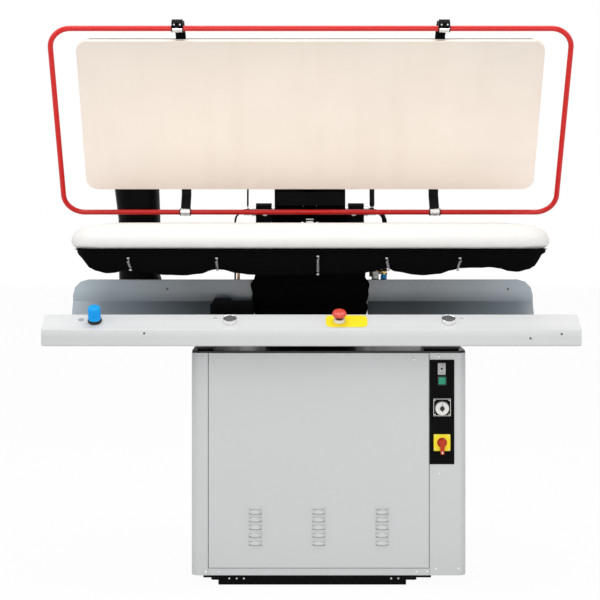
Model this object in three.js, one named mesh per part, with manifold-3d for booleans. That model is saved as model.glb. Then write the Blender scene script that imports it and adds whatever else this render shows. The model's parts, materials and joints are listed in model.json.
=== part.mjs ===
// Free-standing steam ironing press: a long padded buck over a steel cabinet, a hinged head
// with a polished plate and a red guard tube round it, and a control beam across the front.
// Millimetres, +Z up, front towards -Y, origin on the floor under the middle of the cabinet depth
// and of the buck length. The press is shown open, as it stands ready for work.
import * as THREE from "three";
import * as BufferGeometryUtils from "three/addons/utils/BufferGeometryUtils.js";
import Module from "manifold-3d";

// General fits
const fitGap = 0.3;
const runGap = 0.4;
const overrun = 2;
const sheetWall = 1.5;
const plateWall = 3;

// Base and cabinet
const footHeight = 12;
const footDiameter = 44;
const footStudDiameter = 12;
const baseBarWidth = 40;
const baseBarHeight = 18;
const baseLength = 480;
const baseDepth = 520;
const baseCentreX = 8;
const cabinetGap = 3;
const cabinetLeft = 316;
const cabinetRight = 410;
const cabinetDepth = 600;
const cabinetHeight = 588;
const cabinetCornerRadius = 18;
const cabinetFrame = 14;
const doorLeft = 272;
const doorRight = 313;
const doorReveal = 1.5;
const doorProud = 3;
const sillHeight = 19;
const topCoverThickness = 5;
const topCoverSet = 0.5;
const suctionPortRadius = 80;

// Louvres of the door and vents of the back
const louvreWidth = 34;
const louvreHeight = 8;
const louvreDepth = 5;
const louvrePitch = 21;
const louvreRows = 5;
const louvreColumnPitch = 168;
const louvreColumnCentre = 20;
const louvreLowest = 96;

// Control plate on the right front post
const controlWidth = 65;
const controlLength = 276;
const controlThickness = 2;
const controlTopDrop = 18;
const lampSide = 19;
const dialFrameSide = 46;
const dialDiameter = 36;
const mainPlateSide = 44;
const mainHubDiameter = 20;

// Front beam and tray
const beamLength = 1380;
const beamFaceHeight = 43;
const beamSlopeRise = 36;
const beamSlopeRun = 70;
const beamFront = 450;
const beamBottom = 652;
const beamWall = 2;
const trayLength = 1280;
const trayMiddleX = -21;
const trayFloor = 692;
const trayBendRise = 50;
const trayHeight = 111;
const trayBend = trayFloor + trayBendRise;
const trayTop = trayFloor + trayHeight;
const trayBack = 62;
const trayToe = 34;
const trayCornerRadius = 43;

// Buck
const buckLength = 1262;
const buckRear = 92;
const buckDepth = 446;
const buckTop = 959;
const padThickness = 62;
const padEdgeRadius = 26;
const padPlanRadius = 88;
const padCrown = 5;
const panHeight = 40;
const panInset = 26;
const skirtDrop = 50;
const columnWidth = 250;
const columnDepth = 190;
const columnRear = 96;

// Head hinge and head
const pivotY = 190;
const pivotZ = 990;
const openAngle = THREE.MathUtils.degToRad(57.8);
const shaftDiameter = 30;
const shaftLength = 340;
const plateLength = 1290;
const plateDepth = 480;
const plateThickness = 12;
const plateCornerRadius = 34;
const plateEdgeSetback = 93.6;
const plateFaceDrop = 28.5;
const casingHeight = 52;
const casingInset = 16;

// Guard round the head
const guardTube = 15;
const guardLength = 1430;
const guardCornerRadius = 58;
const guardRearSet = 52;
const guardFrontSet = 58;
const guardStandOff = 40;
const guardTravel = 12;
const strapWidth = 28;
const strapThickness = 3;
const clampWidth = 32;

// Stand and air cylinder behind the buck
const standFront = 168;
const standDepth = 120;
const standHalfWidth = 158;
const cheekThickness = 12;
const leverRadius = 80;
const leverPin = 14;
const cylinderDiameter = 63;
const rodDiameter = 20;
const cylinderY = 265;

// Exhaust duct behind the left side
const ductRadius = 62;
const ductY = 246;

const roundSides = 16;
const fineSides = 20;
const smallSides = 8;
const arcSteps = 3;
const boltSides = 6;
const mergeReach = 0.001;

const wasm = await Module();
wasm.setup();

const press = new THREE.Group();

// Finishes of the whole press
const finish = (color, roughness, metalness) => new THREE.MeshStandardMaterial({ color, roughness, metalness });
const greyPaint = () => finish(0xc9cbcc, 0.45, 0.1);
const blackPaint = () => finish(0x151617, 0.5, 0.2);
const bareSteel = () => finish(0xb9bcbe, 0.35, 0.9);
const polishedSteel = () => finish(0xeae2d6, 0.25, 0.8);
const redPaint = () => finish(0xd2261f, 0.35, 0.1);
const redPlastic = () => finish(0xd8322a, 0.4, 0);
const yellowPlastic = () => finish(0xf3df1c, 0.45, 0);
const bluePlastic = () => finish(0x1c95d6, 0.4, 0);
const greenPlastic = () => finish(0x1fa06c, 0.35, 0);
const whitePlastic = () => finish(0xe7e7e2, 0.45, 0);
const blackPlastic = () => finish(0x1b1b1c, 0.5, 0);
const whiteCloth = () => finish(0xf4f2ec, 0.9, 0);
const blackCloth = () => finish(0x0b0b0c, 0.95, 0);
const brass = () => finish(0xb08d4a, 0.35, 0.9);
const copper = () => finish(0xb06a45, 0.35, 0.9);
const rubber = () => finish(0x101011, 0.8, 0);

// A closed body from any three.js geometry: shared corners merged, faces turned outwards
function closed(geometry) {
  const bare = geometry.clone();
  bare.deleteAttribute("normal");
  bare.deleteAttribute("uv");
  const merged = BufferGeometryUtils.mergeVertices(bare, mergeReach);
  const place = merged.getAttribute("position");
  const corners = merged.getIndex().array;
  const kept = [];
  let volume = 0;
  const a = new THREE.Vector3();
  const b = new THREE.Vector3();
  const c = new THREE.Vector3();
  for (let i = 0; i < corners.length; i += 3) {
    const [p, q, r] = [corners[i], corners[i + 1], corners[i + 2]];
    if (p === q || q === r || r === p) continue;
    a.fromBufferAttribute(place, p);
    b.fromBufferAttribute(place, q);
    c.fromBufferAttribute(place, r);
    volume += a.dot(b.cross(c));
    kept.push(p, q, r);
  }
  if (volume < 0) kept.reverse();
  const vertProperties = new Float32Array(place.array);
  const triVerts = new Uint32Array(kept);
  return new wasm.Manifold(new wasm.Mesh({ numProp: 3, vertProperties, triVerts }));
}

const isSolid = (item) => !item.isBufferGeometry;
const asSolid = (item) => (isSolid(item) ? item : closed(item));
const join = (...items) => items.flat().map(asSolid).reduce((whole, item) => whole.add(item));
const cut = (base, ...items) => items.flat().reduce((whole, item) => whole.subtract(asSolid(item)), asSolid(base));

function geometryOf(solid) {
  const mesh = solid.getMesh();
  const geometry = new THREE.BufferGeometry();
  const positions = new Float32Array((mesh.vertProperties.length / mesh.numProp) * 3);
  for (let i = 0; i < positions.length / 3; i += 1) {
    positions.set(mesh.vertProperties.slice(i * mesh.numProp, i * mesh.numProp + 3), i * 3);
  }
  geometry.setAttribute("position", new THREE.BufferAttribute(positions, 3));
  geometry.setIndex(Array.from(mesh.triVerts));
  geometry.computeVertexNormals();
  return geometry;
}

function place(name, item, material, parent = press) {
  const mesh = new THREE.Mesh(geometryOf(asSolid(item)), material);
  mesh.name = name;
  parent.add(mesh);
  return mesh;
}

// Blocks, rods and turned forms
function block(x0, x1, y0, y1, z0, z1) {
  const geometry = new THREE.BoxGeometry(x1 - x0, y1 - y0, z1 - z0);
  geometry.translate((x0 + x1) / 2, (y0 + y1) / 2, (z0 + z1) / 2);
  return geometry;
}

function rod(from, to, radius, sides = roundSides, endRadius = radius) {
  const start = new THREE.Vector3(...from);
  const end = new THREE.Vector3(...to);
  const along = end.clone().sub(start);
  const geometry = new THREE.CylinderGeometry(endRadius, radius, along.length(), sides);
  const turn = new THREE.Quaternion().setFromUnitVectors(new THREE.Vector3(0, 1, 0), along.clone().normalize());
  geometry.applyQuaternion(turn);
  const middle = start.add(end).multiplyScalar(0.5);
  geometry.translate(middle.x, middle.y, middle.z);
  return geometry;
}

// A profile of [radius, height] points turned about the vertical through the given place
function turned(profile, x = 0, y = 0, z = 0, sides = roundSides) {
  const points = profile.map(([radius, height]) => new THREE.Vector2(radius, height));
  const geometry = new THREE.LatheGeometry(points, sides);
  geometry.rotateX(Math.PI / 2);
  geometry.translate(x, y, z);
  return geometry;
}

// An outline of [x, y, radius] corners, with each radius drawn as an arc
function outline(corners, steps = arcSteps) {
  const points = [];
  corners.forEach(([x, y, radius = 0], i) => {
    const here = new THREE.Vector2(x, y);
    if (radius === 0) {
      points.push(here);
      return;
    }
    const before = corners[(i + corners.length - 1) % corners.length];
    const after = corners[(i + 1) % corners.length];
    const back = new THREE.Vector2(before[0], before[1]).sub(here).normalize();
    const ahead = new THREE.Vector2(after[0], after[1]).sub(here).normalize();
    const half = Math.acos(THREE.MathUtils.clamp(back.dot(ahead), -1, 1)) / 2;
    const inward = back.clone().add(ahead).normalize();
    const centre = here.clone().addScaledVector(inward, radius / Math.sin(half));
    const first = here.clone().addScaledVector(back, radius / Math.tan(half)).sub(centre);
    const turn = Math.PI - 2 * half;
    const sense = Math.sign(ahead.cross(back));
    for (let step = 0; step <= steps; step += 1) {
      const angle = (sense * turn * step) / steps;
      points.push(first.clone().rotateAround(new THREE.Vector2(), angle).add(centre));
    }
  });
  return new THREE.Shape(points);
}

const rectangle = (x0, x1, y0, y1, radius = 0, steps = arcSteps) =>
  outline([[x0, y0, radius], [x1, y0, radius], [x1, y1, radius], [x0, y1, radius]], steps);

// Extrusions of an outline drawn in plan, in front view (x, z) or in side view (y, z)
const extruded = (shape, depth) => new THREE.ExtrudeGeometry(shape, { depth, bevelEnabled: false });

function inPlan(shape, z0, z1) {
  const geometry = extruded(shape, z1 - z0);
  geometry.translate(0, 0, z0);
  return geometry;
}

function inFront(shape, y0, y1) {
  const geometry = extruded(shape, y1 - y0);
  geometry.rotateX(Math.PI / 2);
  geometry.translate(0, y1, 0);
  return geometry;
}

function inSide(shape, x0, x1) {
  const geometry = extruded(shape, x1 - x0);
  const turn = new THREE.Matrix4().makeBasis(
    new THREE.Vector3(0, 1, 0),
    new THREE.Vector3(0, 0, 1),
    new THREE.Vector3(1, 0, 0),
  );
  geometry.applyMatrix4(turn);
  geometry.translate(x0, 0, 0);
  return geometry;
}

// A sheet bent along an open line, drawn as the line and its offset by the wall to the left
function bentSheet(line, wall, radius) {
  const points = line.map(([x, y]) => new THREE.Vector2(x, y));
  const inner = points.map((point, i) => {
    const back = i > 0 ? point.clone().sub(points[i - 1]).normalize() : null;
    const ahead = i < points.length - 1 ? points[i + 1].clone().sub(point).normalize() : null;
    const first = (back ?? ahead).clone();
    const second = (ahead ?? back).clone();
    const sideA = new THREE.Vector2(-first.y, first.x);
    const sideB = new THREE.Vector2(-second.y, second.x);
    const mitre = sideA.clone().add(sideB).normalize();
    return point.clone().addScaledVector(mitre, wall / mitre.dot(sideA));
  });
  const bend = (i) => (i > 0 && i < points.length - 1 ? radius : 0);
  const turnSense = (i) => {
    if (i === 0 || i === points.length - 1) return 0;
    const back = points[i].clone().sub(points[i - 1]);
    return Math.sign(back.cross(points[i + 1].clone().sub(points[i])));
  };
  const outer = points.map((p, i) => [p.x, p.y, turnSense(i) > 0 ? bend(i) + wall : bend(i)]);
  const inside = inner.map((p, i) => [p.x, p.y, turnSense(i) > 0 ? bend(i) : bend(i) + wall]);
  return outline([...outer, ...inside.reverse()]);
}

// A round tube along a smooth open line
function tube(points, radius, steps, sides = smallSides, bore = 0) {
  const route = new THREE.CatmullRomCurve3(points.map((point) => new THREE.Vector3(...point)), false, "centripetal");
  const section = new THREE.Shape();
  section.absarc(0, 0, radius, 0, 2 * Math.PI);
  if (bore > 0) {
    const hole = new THREE.Path();
    hole.absarc(0, 0, bore, 0, 2 * Math.PI, true);
    section.holes.push(hole);
  }
  return new THREE.ExtrudeGeometry(section, {
    steps,
    curveSegments: Math.round(sides / 2),
    bevelEnabled: false,
    extrudePath: route,
  });
}

// A tube bent into a flat closed ring that follows an outline at one height
function ringTube(shape, height, radius, sides = smallSides) {
  const line = shape.getPoints();
  const count = line.length;
  const positions = [];
  const index = [];
  line.forEach((point, i) => {
    const before = line[(i + count - 1) % count];
    const after = line[(i + 1) % count];
    const along = after.clone().sub(before).normalize();
    const back = point.clone().sub(before).normalize();
    const side = new THREE.Vector2(along.y, -along.x);
    const stretch = 1 / Math.max(along.dot(back), Math.SQRT1_2);
    for (let k = 0; k < sides; k += 1) {
      const angle = (2 * Math.PI * k) / sides;
      const out = radius * Math.cos(angle) * stretch;
      positions.push(point.x + side.x * out, point.y + side.y * out, height + radius * Math.sin(angle));
      const [a, b] = [i * sides + k, i * sides + ((k + 1) % sides)];
      const [c, d] = [((i + 1) % count) * sides + k, ((i + 1) % count) * sides + ((k + 1) % sides)];
      index.push(a, b, d, a, d, c);
    }
  });
  const geometry = new THREE.BufferGeometry();
  geometry.setAttribute("position", new THREE.Float32BufferAttribute(positions, 3));
  geometry.setIndex(index);
  return geometry;
}

// Equal places either side of a centre
const spread = (count, pitch, centre = 0) =>
  Array.from({ length: count }, (_, i) => centre + (i - (count - 1) / 2) * pitch);

// Levels that several pieces share
const baseBarBottom = footHeight;
const baseTop = baseBarBottom + baseBarHeight;
const cabinetBottom = baseTop + cabinetGap;
const cabinetTop = cabinetBottom + cabinetHeight;
const coverTop = cabinetTop + topCoverThickness;
const cabinetFront = -cabinetDepth / 2;
const cabinetRear = cabinetDepth / 2;
const baseLeft = baseCentreX - baseLength / 2;
const baseRight = baseCentreX + baseLength / 2;
const footInset = baseBarWidth / 2;

// Base: a rectangular frame of flat tube with bolt lugs, on four screw feet
function buildBase() {
  const lugLength = 34;
  const lugHeight = 7;
  const spacer = 60;
  const outer = rectangle(baseLeft, baseRight, -baseDepth / 2, baseDepth / 2);
  const hole = rectangle(
    baseLeft + baseBarWidth,
    baseRight - baseBarWidth,
    -baseDepth / 2 + baseBarWidth,
    baseDepth / 2 - baseBarWidth,
  );
  outer.holes.push(hole);
  const frame = inPlan(outer, baseBarBottom, baseTop);
  const corners = [baseLeft, baseRight].flatMap((x) => [-baseDepth / 2, baseDepth / 2].map((y) => [x, y]));
  const lugs = corners.map(([x, y]) => {
    const out = Math.sign(x - baseCentreX);
    const inY = Math.sign(y) * baseBarWidth;
    const [x0, x1] = [x - (out * lugLength) / 2, x + out * lugLength].sort((p, q) => p - q);
    const [y0, y1] = [y - inY, y].sort((p, q) => p - q);
    return inPlan(rectangle(x0, x1, y0, y1, lugHeight), baseBarBottom, baseBarBottom + lugHeight);
  });
  const standoffs = corners.map(([x, y]) => {
    const out = Math.sign(x - baseCentreX);
    const [x0, x1] = [x - out * spacer, x].sort((p, q) => p - q);
    const [y0, y1] = [y - Math.sign(y) * baseBarWidth, y].sort((p, q) => p - q);
    return block(x0, x1, y0, y1, baseTop - overrun, cabinetBottom);
  });
  const studs = corners.map(([x, y]) => {
    const at = [x - Math.sign(x - baseCentreX) * footInset, y - Math.sign(y) * footInset];
    return rod([...at, baseBarBottom - overrun], [...at, baseTop - baseBarHeight / 2], footStudDiameter / 2 + fitGap);
  });
  place("base_frame", cut(join(frame, lugs, standoffs), studs), blackPaint());
  const foot = [
    [0, 0],
    [footDiameter / 2, 0],
    [footDiameter / 2, footHeight / 3],
    [footStudDiameter, footHeight - fitGap],
    [footStudDiameter / 2, footHeight - fitGap],
    [footStudDiameter / 2, footHeight + baseBarHeight / 3],
    [0, footHeight + baseBarHeight / 3],
  ];
  corners.forEach(([x, y]) => {
    const side = x < baseCentreX ? "left" : "right";
    const end = y < 0 ? "front" : "rear";
    const at = [x - Math.sign(x - baseCentreX) * footInset, y - Math.sign(y) * footInset];
    place(`levelling_foot_${end}_${side}`, turned(foot, ...at), rubber());
  });
}

// One pressed louvre: a hood that swells from the sheet and opens downwards
function louvreHood(x, z, face, wall) {
  const top = z + louvreHeight / 2;
  const bottom = z - louvreHeight / 2;
  const bulge = (depth, height, low) =>
    outline([[face + wall, low], [face + wall, height], [face, height], [face - depth, low + wall, wall], [face - depth, low]]);
  const outer = inSide(bulge(louvreDepth, top, bottom), x - louvreWidth / 2, x + louvreWidth / 2);
  const inner = inSide(
    outline([
      [face + wall + overrun, top - wall],
      [face, top - wall],
      [face - louvreDepth + wall, bottom + wall],
      [face - louvreDepth + wall, bottom - overrun],
      [face, bottom - overrun],
      [face, bottom],
      [face + wall + overrun, bottom],
    ]),
    x - louvreWidth / 2 + wall,
    x + louvreWidth / 2 - wall,
  );
  return { outer, inner };
}

function withLouvres(sheet, columns, face) {
  const hoods = columns.flatMap((x) =>
    Array.from({ length: louvreRows }, (_, row) =>
      louvreHood(x, cabinetBottom + louvreLowest + row * louvrePitch, face, sheetWall),
    ),
  );
  return cut(join(sheet, hoods.map((hood) => hood.outer)), hoods.map((hood) => hood.inner));
}

// Cabinet shells: two side panels with the front posts, back, door, sill, floor and top
function buildCabinet() {
  const postRadius = cabinetCornerRadius;
  const [left, right] = [-cabinetLeft, cabinetRight];
  const sideShape = (out, post) =>
    outline([
      [post, cabinetFront],
      [out, cabinetFront, postRadius],
      [out, cabinetRear],
      [out - Math.sign(out) * sheetWall, cabinetRear],
      [out - Math.sign(out) * sheetWall, cabinetFront + sheetWall, postRadius - sheetWall],
      [post, cabinetFront + sheetWall],
    ]);
  place("left_side_panel", inPlan(sideShape(left, -doorLeft), cabinetBottom, cabinetTop), greyPaint());
  place("right_side_panel", inPlan(sideShape(right, doorRight), cabinetBottom, cabinetTop), greyPaint());

  const inner = sheetWall + fitGap;
  const sill = bentSheet(
    [
      [cabinetFront + cabinetFrame, cabinetBottom + sillHeight],
      [cabinetFront, cabinetBottom + sillHeight],
      [cabinetFront, cabinetBottom],
      [cabinetFront + cabinetFrame * 2, cabinetBottom],
    ],
    sheetWall,
    0,
  );
  const floorOutline = rectangle(left + inner, right - inner, cabinetFront + postRadius, cabinetRear - inner);
  const floor = inPlan(floorOutline, cabinetBottom, cabinetBottom + sheetWall);
  place("floor_pan", join(floor, inSide(sill, -doorLeft + fitGap, doorRight - fitGap)), greyPaint());

  const back = block(left + inner, right - inner, cabinetRear - sheetWall, cabinetRear, cabinetBottom + inner, cabinetTop);
  place("rear_panel", back, greyPaint());

  // The door is a shallow pan: a face and four folded edges behind it
  const door = [-doorLeft + doorReveal, doorRight - doorReveal, cabinetBottom + sillHeight + doorReveal, cabinetTop];
  const face = cabinetFront - doorProud;
  const pan = block(door[0], door[1], face, cabinetFront + cabinetFrame, door[2], door[3]);
  const hollow = block(
    door[0] + sheetWall,
    door[1] - sheetWall,
    face + sheetWall,
    cabinetFront + cabinetFrame + overrun,
    door[2] + sheetWall,
    door[3] - sheetWall,
  );
  const doorColumns = spread(3, louvreColumnPitch, louvreColumnCentre);
  place("front_door", withLouvres(cut(pan, hollow), doorColumns, face), greyPaint());

  const cornerCut = 22;
  const cover = outline([
    [left + topCoverSet + cornerCut, cabinetFront + topCoverSet],
    [right - topCoverSet - cornerCut, cabinetFront + topCoverSet],
    [right - topCoverSet, cabinetFront + cornerCut],
    [right - topCoverSet, cabinetRear - topCoverSet],
    [left + topCoverSet, cabinetRear - topCoverSet],
    [left + topCoverSet, cabinetFront + cornerCut],
  ]);
  const suctionPort = rod([0, 0, cabinetTop - overrun], [0, 0, coverTop + overrun], suctionPortRadius);
  place("cabinet_top", join(cut(inPlan(cover, cabinetTop, coverTop), suctionPort), beamGussets()), blackPaint());
}

// Steam and suction inside the cabinet
function buildInside() {
  const tankRadius = 130;
  const tankLength = 400;
  const tankX = 170;
  const tankY = 60;
  const tankRise = 160;
  const tankZ = cabinetBottom + tankRise;
  const saddleWidth = 30;
  const flangeRadius = 62;
  const flangeThickness = 16;
  const tankEnd = tankRadius / 4;
  const profile = [
    [0, -tankLength / 2],
    [flangeRadius, -tankLength / 2],
    [tankRadius * 0.7, -tankLength / 2 + tankEnd / 3],
    [tankRadius, -tankLength / 2 + tankEnd],
    [tankRadius, tankLength / 2 - tankEnd],
    [tankRadius * 0.7, tankLength / 2 - tankEnd / 3],
    [0, tankLength / 2],
  ];
  const tank = turned(profile);
  tank.rotateY(Math.PI / 2);
  tank.translate(tankX, tankY, tankZ);
  const room = rod([tankX - tankLength, tankY, tankZ], [tankX + tankLength, tankY, tankZ], tankRadius - sheetWall);
  const saddles = spread(2, tankLength / 2, tankX).map((x) =>
    cut(
      block(
        x - saddleWidth / 2,
        x + saddleWidth / 2,
        tankY - tankRadius * 0.8,
        tankY + tankRadius * 0.8,
        cabinetBottom + sheetWall,
        tankZ - tankRadius / 2,
      ),
      room,
    ),
  );
  const shell = tank.clone();
  shell.translate(-tankX, -tankY, -tankZ);
  shell.scale(1 - (plateWall * 2) / tankLength, 1 - plateWall / tankRadius, 1 - plateWall / tankRadius);
  shell.translate(tankX, tankY, tankZ);
  const mouth = rod([tankX - tankLength, tankY, tankZ], [tankX, tankY, tankZ], flangeRadius * 0.8);
  place("boiler_tank", cut(join(tank, saddles), shell, mouth), bareSteel());
  const flangeX = tankX - tankLength / 2;
  const flange = rod([flangeX - flangeThickness, tankY, tankZ], [flangeX - fitGap, tankY, tankZ], flangeRadius);
  const rods = spread(3, flangeRadius / 2, tankZ).map((z) =>
    rod([flangeX - flangeThickness * 3, tankY, z], [flangeX - flangeThickness, tankY, z], smallSides),
  );
  place("heater_flange", join(flange, rods), brass());

  const drumRadius = 140;
  const drumHeight = 120;
  const wheelRadius = 112;
  const bladeCount = 12;
  const bladeHeight = 60;
  const motorRadius = 68;
  const motorHeight = 160;
  const motorShaft = 8;
  const inletRadius = 80;
  const drumBottom = cabinetTop - drumHeight;
  const drum = turned([
    [motorShaft + runGap, drumBottom],
    [drumRadius, drumBottom],
    [drumRadius, cabinetTop],
    [drumRadius - sheetWall, cabinetTop],
    [drumRadius - sheetWall, drumBottom + sheetWall],
    [motorShaft + runGap, drumBottom + sheetWall],
    [motorShaft + runGap, drumBottom],
  ]);
  place("suction_fan_housing", drum, bareSteel());
  const motorTop = drumBottom - fitGap;
  place(
    "suction_motor",
    cut(
      rod([0, 0, motorTop - motorHeight], [0, 0, motorTop], motorRadius),
      rod([0, 0, motorTop - motorHeight / 3], [0, 0, motorTop + overrun], motorShaft + runGap),
    ),
    blackPaint(),
  );
  const wheelBottom = drumBottom + sheetWall + drumHeight / 8;
  const disc = rod([0, 0, wheelBottom], [0, 0, wheelBottom + sheetWall], wheelRadius);
  const shaft = rod([0, 0, motorTop - motorHeight / 4], [0, 0, wheelBottom + bladeHeight / 2], motorShaft);
  const blades = Array.from({ length: bladeCount }, (_, i) => {
    const blade = block(inletRadius / 2, wheelRadius, 0, sheetWall, wheelBottom, wheelBottom + bladeHeight);
    blade.rotateZ((2 * Math.PI * i) / bladeCount);
    return blade;
  });
  place("suction_fan_wheel", join(disc, shaft, blades), bareSteel());
}

// Control plate on the right front post, with its lamp switch, timer dial and main switch
function buildControls() {
  const face = cabinetFront;
  const top = cabinetTop - controlTopDrop;
  const middleX = doorRight + fitGap * 2 + controlWidth / 2;
  const lampDrop = 55;
  const dialDrop = 128;
  const mainDrop = 223;
  const switchTravel = 2.5;
  const switchProud = 5;
  const frameProud = 2;
  const dialProud = 9;
  const dialHub = 8;
  const mainProud = 14;
  const handleLength = 30;
  const handleWidth = 9;
  const plateFront = face - controlThickness;
  const [x0, x1] = [middleX - controlWidth / 2, middleX + controlWidth / 2];
  const lampRoom = (z, side) => rectangle(middleX - side, middleX + side, z - side, z + side);
  const lampZ = top - lampDrop;
  const plate = inFront(rectangle(x0, x1, top - controlLength, top, fitGap), plateFront, face);
  const lampHole = lampSide / 2 + fitGap;
  const bezelShape = rectangle(
    middleX - lampHole - frameProud,
    middleX + lampHole + frameProud,
    lampZ - lampHole - frameProud,
    lampZ + lampHole + frameProud,
    frameProud / 2,
  );
  bezelShape.holes.push(lampRoom(lampZ, lampHole));
  const key = rectangle(
    middleX - lampSide / 2,
    middleX + lampSide / 2,
    lampZ - lampSide / 2,
    lampZ + lampSide / 2,
    frameProud,
  );
  const switchBack = face - fitGap - switchTravel + controlThickness - frameProud;
  place("lamp_switch_key", inFront(key, plateFront - switchProud, Math.min(switchBack, face - switchTravel)), greenPlastic());

  const dialZ = top - dialDrop;
  const frameShape = rectangle(
    middleX - dialFrameSide / 2,
    middleX + dialFrameSide / 2,
    dialZ - dialFrameSide / 2,
    dialZ + dialFrameSide / 2,
    frameProud,
  );
  const lampBore = inFront(lampRoom(lampZ, lampHole), plateFront - overrun, face + overrun);
  const raised = [bezelShape, frameShape].map((shape) => inFront(shape, plateFront - frameProud, plateFront));
  place("control_plate", join(cut(plate, lampBore), raised), blackPlastic());
  const frameFront = plateFront - frameProud - fitGap;
  const dial = turned([
    [0, 0],
    [dialDiameter / 2, 0],
    [dialDiameter / 2, dialProud / 2],
    [dialDiameter / 2 - frameProud, dialProud * 0.7],
    [dialHub, dialProud * 0.7],
    [dialHub - frameProud, dialProud],
    [0, dialProud],
  ], 0, 0, 0, fineSides);
  dial.rotateX(Math.PI / 2);
  dial.translate(middleX, frameFront, dialZ);
  place("timer_dial", dial, whitePlastic());

  const mainZ = top - mainDrop + handleWidth / 2;
  const yellow = rectangle(
    middleX - mainPlateSide / 2,
    middleX + mainPlateSide / 2,
    mainZ - mainPlateSide / 2,
    mainZ + mainPlateSide / 2,
    frameProud,
  );
  place("main_switch_plate", inFront(yellow, plateFront - frameProud, plateFront), yellowPlastic());
  const hubTurn = rod([middleX, frameFront, mainZ], [middleX, frameFront - mainProud / 2, mainZ], mainHubDiameter / 2);
  const grip = inFront(
    outline([
      [middleX - handleWidth / 2, mainZ - handleLength, handleWidth / 3],
      [middleX + handleWidth / 2, mainZ - handleLength, handleWidth / 3],
      [middleX + handleWidth * 0.7, mainZ, 0],
      [middleX + handleWidth / 2, mainZ + mainHubDiameter / 2, handleWidth / 3],
      [middleX - handleWidth / 2, mainZ + mainHubDiameter / 2, handleWidth / 3],
      [middleX - handleWidth * 0.7, mainZ, 0],
    ]),
    frameFront - mainProud,
    frameFront - mainProud / 4,
  );
  place("main_switch_handle", join(hubTurn, grip), redPlastic());

}

const beamRear = -beamFront + beamSlopeRun;
const beamFold = beamBottom + beamFaceHeight;
const beamTop = beamFold + beamSlopeRise;
const slopeAngle = Math.atan2(beamSlopeRise, beamSlopeRun);
const handButtonCentre = 72;
const handButtonSpan = 562;
const knobInset = 133;
const blueKnobX = knobInset - beamLength / 2;
const buttonBore = 11;
const stopBore = 9;
const knobBore = 6;

// A turned group that lies on the sloping top of the beam: y runs up the slope, z stands off it
const slope = new THREE.Group();
slope.position.set(0, (beamRear - beamFront) / 2, (beamFold + beamTop) / 2);
slope.rotation.x = slopeAngle;
press.add(slope);

const onSlope = (geometry) => {
  slope.updateMatrix();
  return geometry.clone().applyMatrix4(slope.matrix);
};

// Beam: one bent sheet with closed ends, on two black gussets; tray: a bent sheet behind it
function buildBeam() {
  const lip = 30;
  const capWall = 2;
  const half = beamLength / 2;
  const line = [
    [-beamFront + lip, beamBottom],
    [-beamFront, beamBottom],
    [-beamFront, beamFold],
    [beamRear, beamTop],
    [beamRear, trayFloor + beamWall],
  ];
  const bores = [
    [handButtonCentre - handButtonSpan / 2, buttonBore],
    [handButtonCentre + handButtonSpan / 2, buttonBore],
    [handButtonCentre, stopBore],
    [blueKnobX, knobBore],
  ].map(([x, radius]) => onSlope(rod([x, 0, -lip], [x, 0, lip], radius, roundSides)));
  const sheet = inSide(bentSheet(line.reverse(), beamWall, beamWall), -half + capWall, half - capWall);
  const end = outline([
    [-beamFront, beamBottom, beamWall * 2],
    [beamRear, trayFloor + beamWall, beamWall],
    [beamRear, beamTop, beamWall * 2],
    [-beamFront, beamFold, beamWall * 2],
  ]);
  const ends = [inSide(end, -half, -half + capWall), inSide(end, half - capWall, half)];
  place("control_beam", join(cut(sheet, bores), ends), greyPaint());
}

const bootWidth = 304;
const bootDepth = 226;
const columnMiddleY = columnRear - columnDepth / 2;

function buildTray() {
  const trayLeft = trayMiddleX - trayLength / 2;
  const trayRight = trayMiddleX + trayLength / 2;
  const notchGap = 6;
  const line = [
    [beamRear - beamWall * 3, trayFloor],
    [-trayBack - trayToe, trayFloor],
    [-trayBack, trayBend],
    [-trayBack, trayTop],
  ];
  const sheet = inSide(bentSheet(line, beamWall, beamWall), trayLeft, trayRight);
  const face = inFront(
    outline([
      [trayLeft, trayFloor - beamWall - overrun],
      [trayRight, trayFloor - beamWall - overrun],
      [trayRight, trayTop, trayCornerRadius],
      [trayLeft, trayTop, trayCornerRadius],
    ]),
    beamRear - beamWall * 4,
    0,
  );
  const notch = block(
    -bootWidth / 2 - notchGap,
    bootWidth / 2 + notchGap,
    columnMiddleY - bootDepth / 2 - notchGap,
    columnMiddleY + bootDepth,
    trayFloor - overrun,
    trayTop + overrun,
  );
  place("garment_tray", cut(closed(sheet).intersect(closed(face)), notch), bareSteel());
}

// Two black gussets carry the beam and the tray from the cabinet top
function beamGussets() {
  const gussetReach = 34;
  const gussetSet = 12;
  const gussetRear = -180;
  const gusset = outline([
    [cabinetFront + gussetSet, coverTop],
    [gussetRear, coverTop],
    [gussetRear, trayFloor - fitGap],
    [beamRear - beamWall, trayFloor - fitGap],
    [beamRear - beamWall, trayFloor - gussetReach],
  ]);
  const [leftOut, leftIn] = [-cabinetLeft + topCoverSet, -doorLeft + cabinetFrame];
  const [rightIn, rightOut] = [doorRight - cabinetFrame, cabinetRight - topCoverSet - cabinetCornerRadius];
  return [inSide(gusset, leftOut + cabinetFrame, leftIn), inSide(gusset, rightIn, rightOut)];
}

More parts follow.
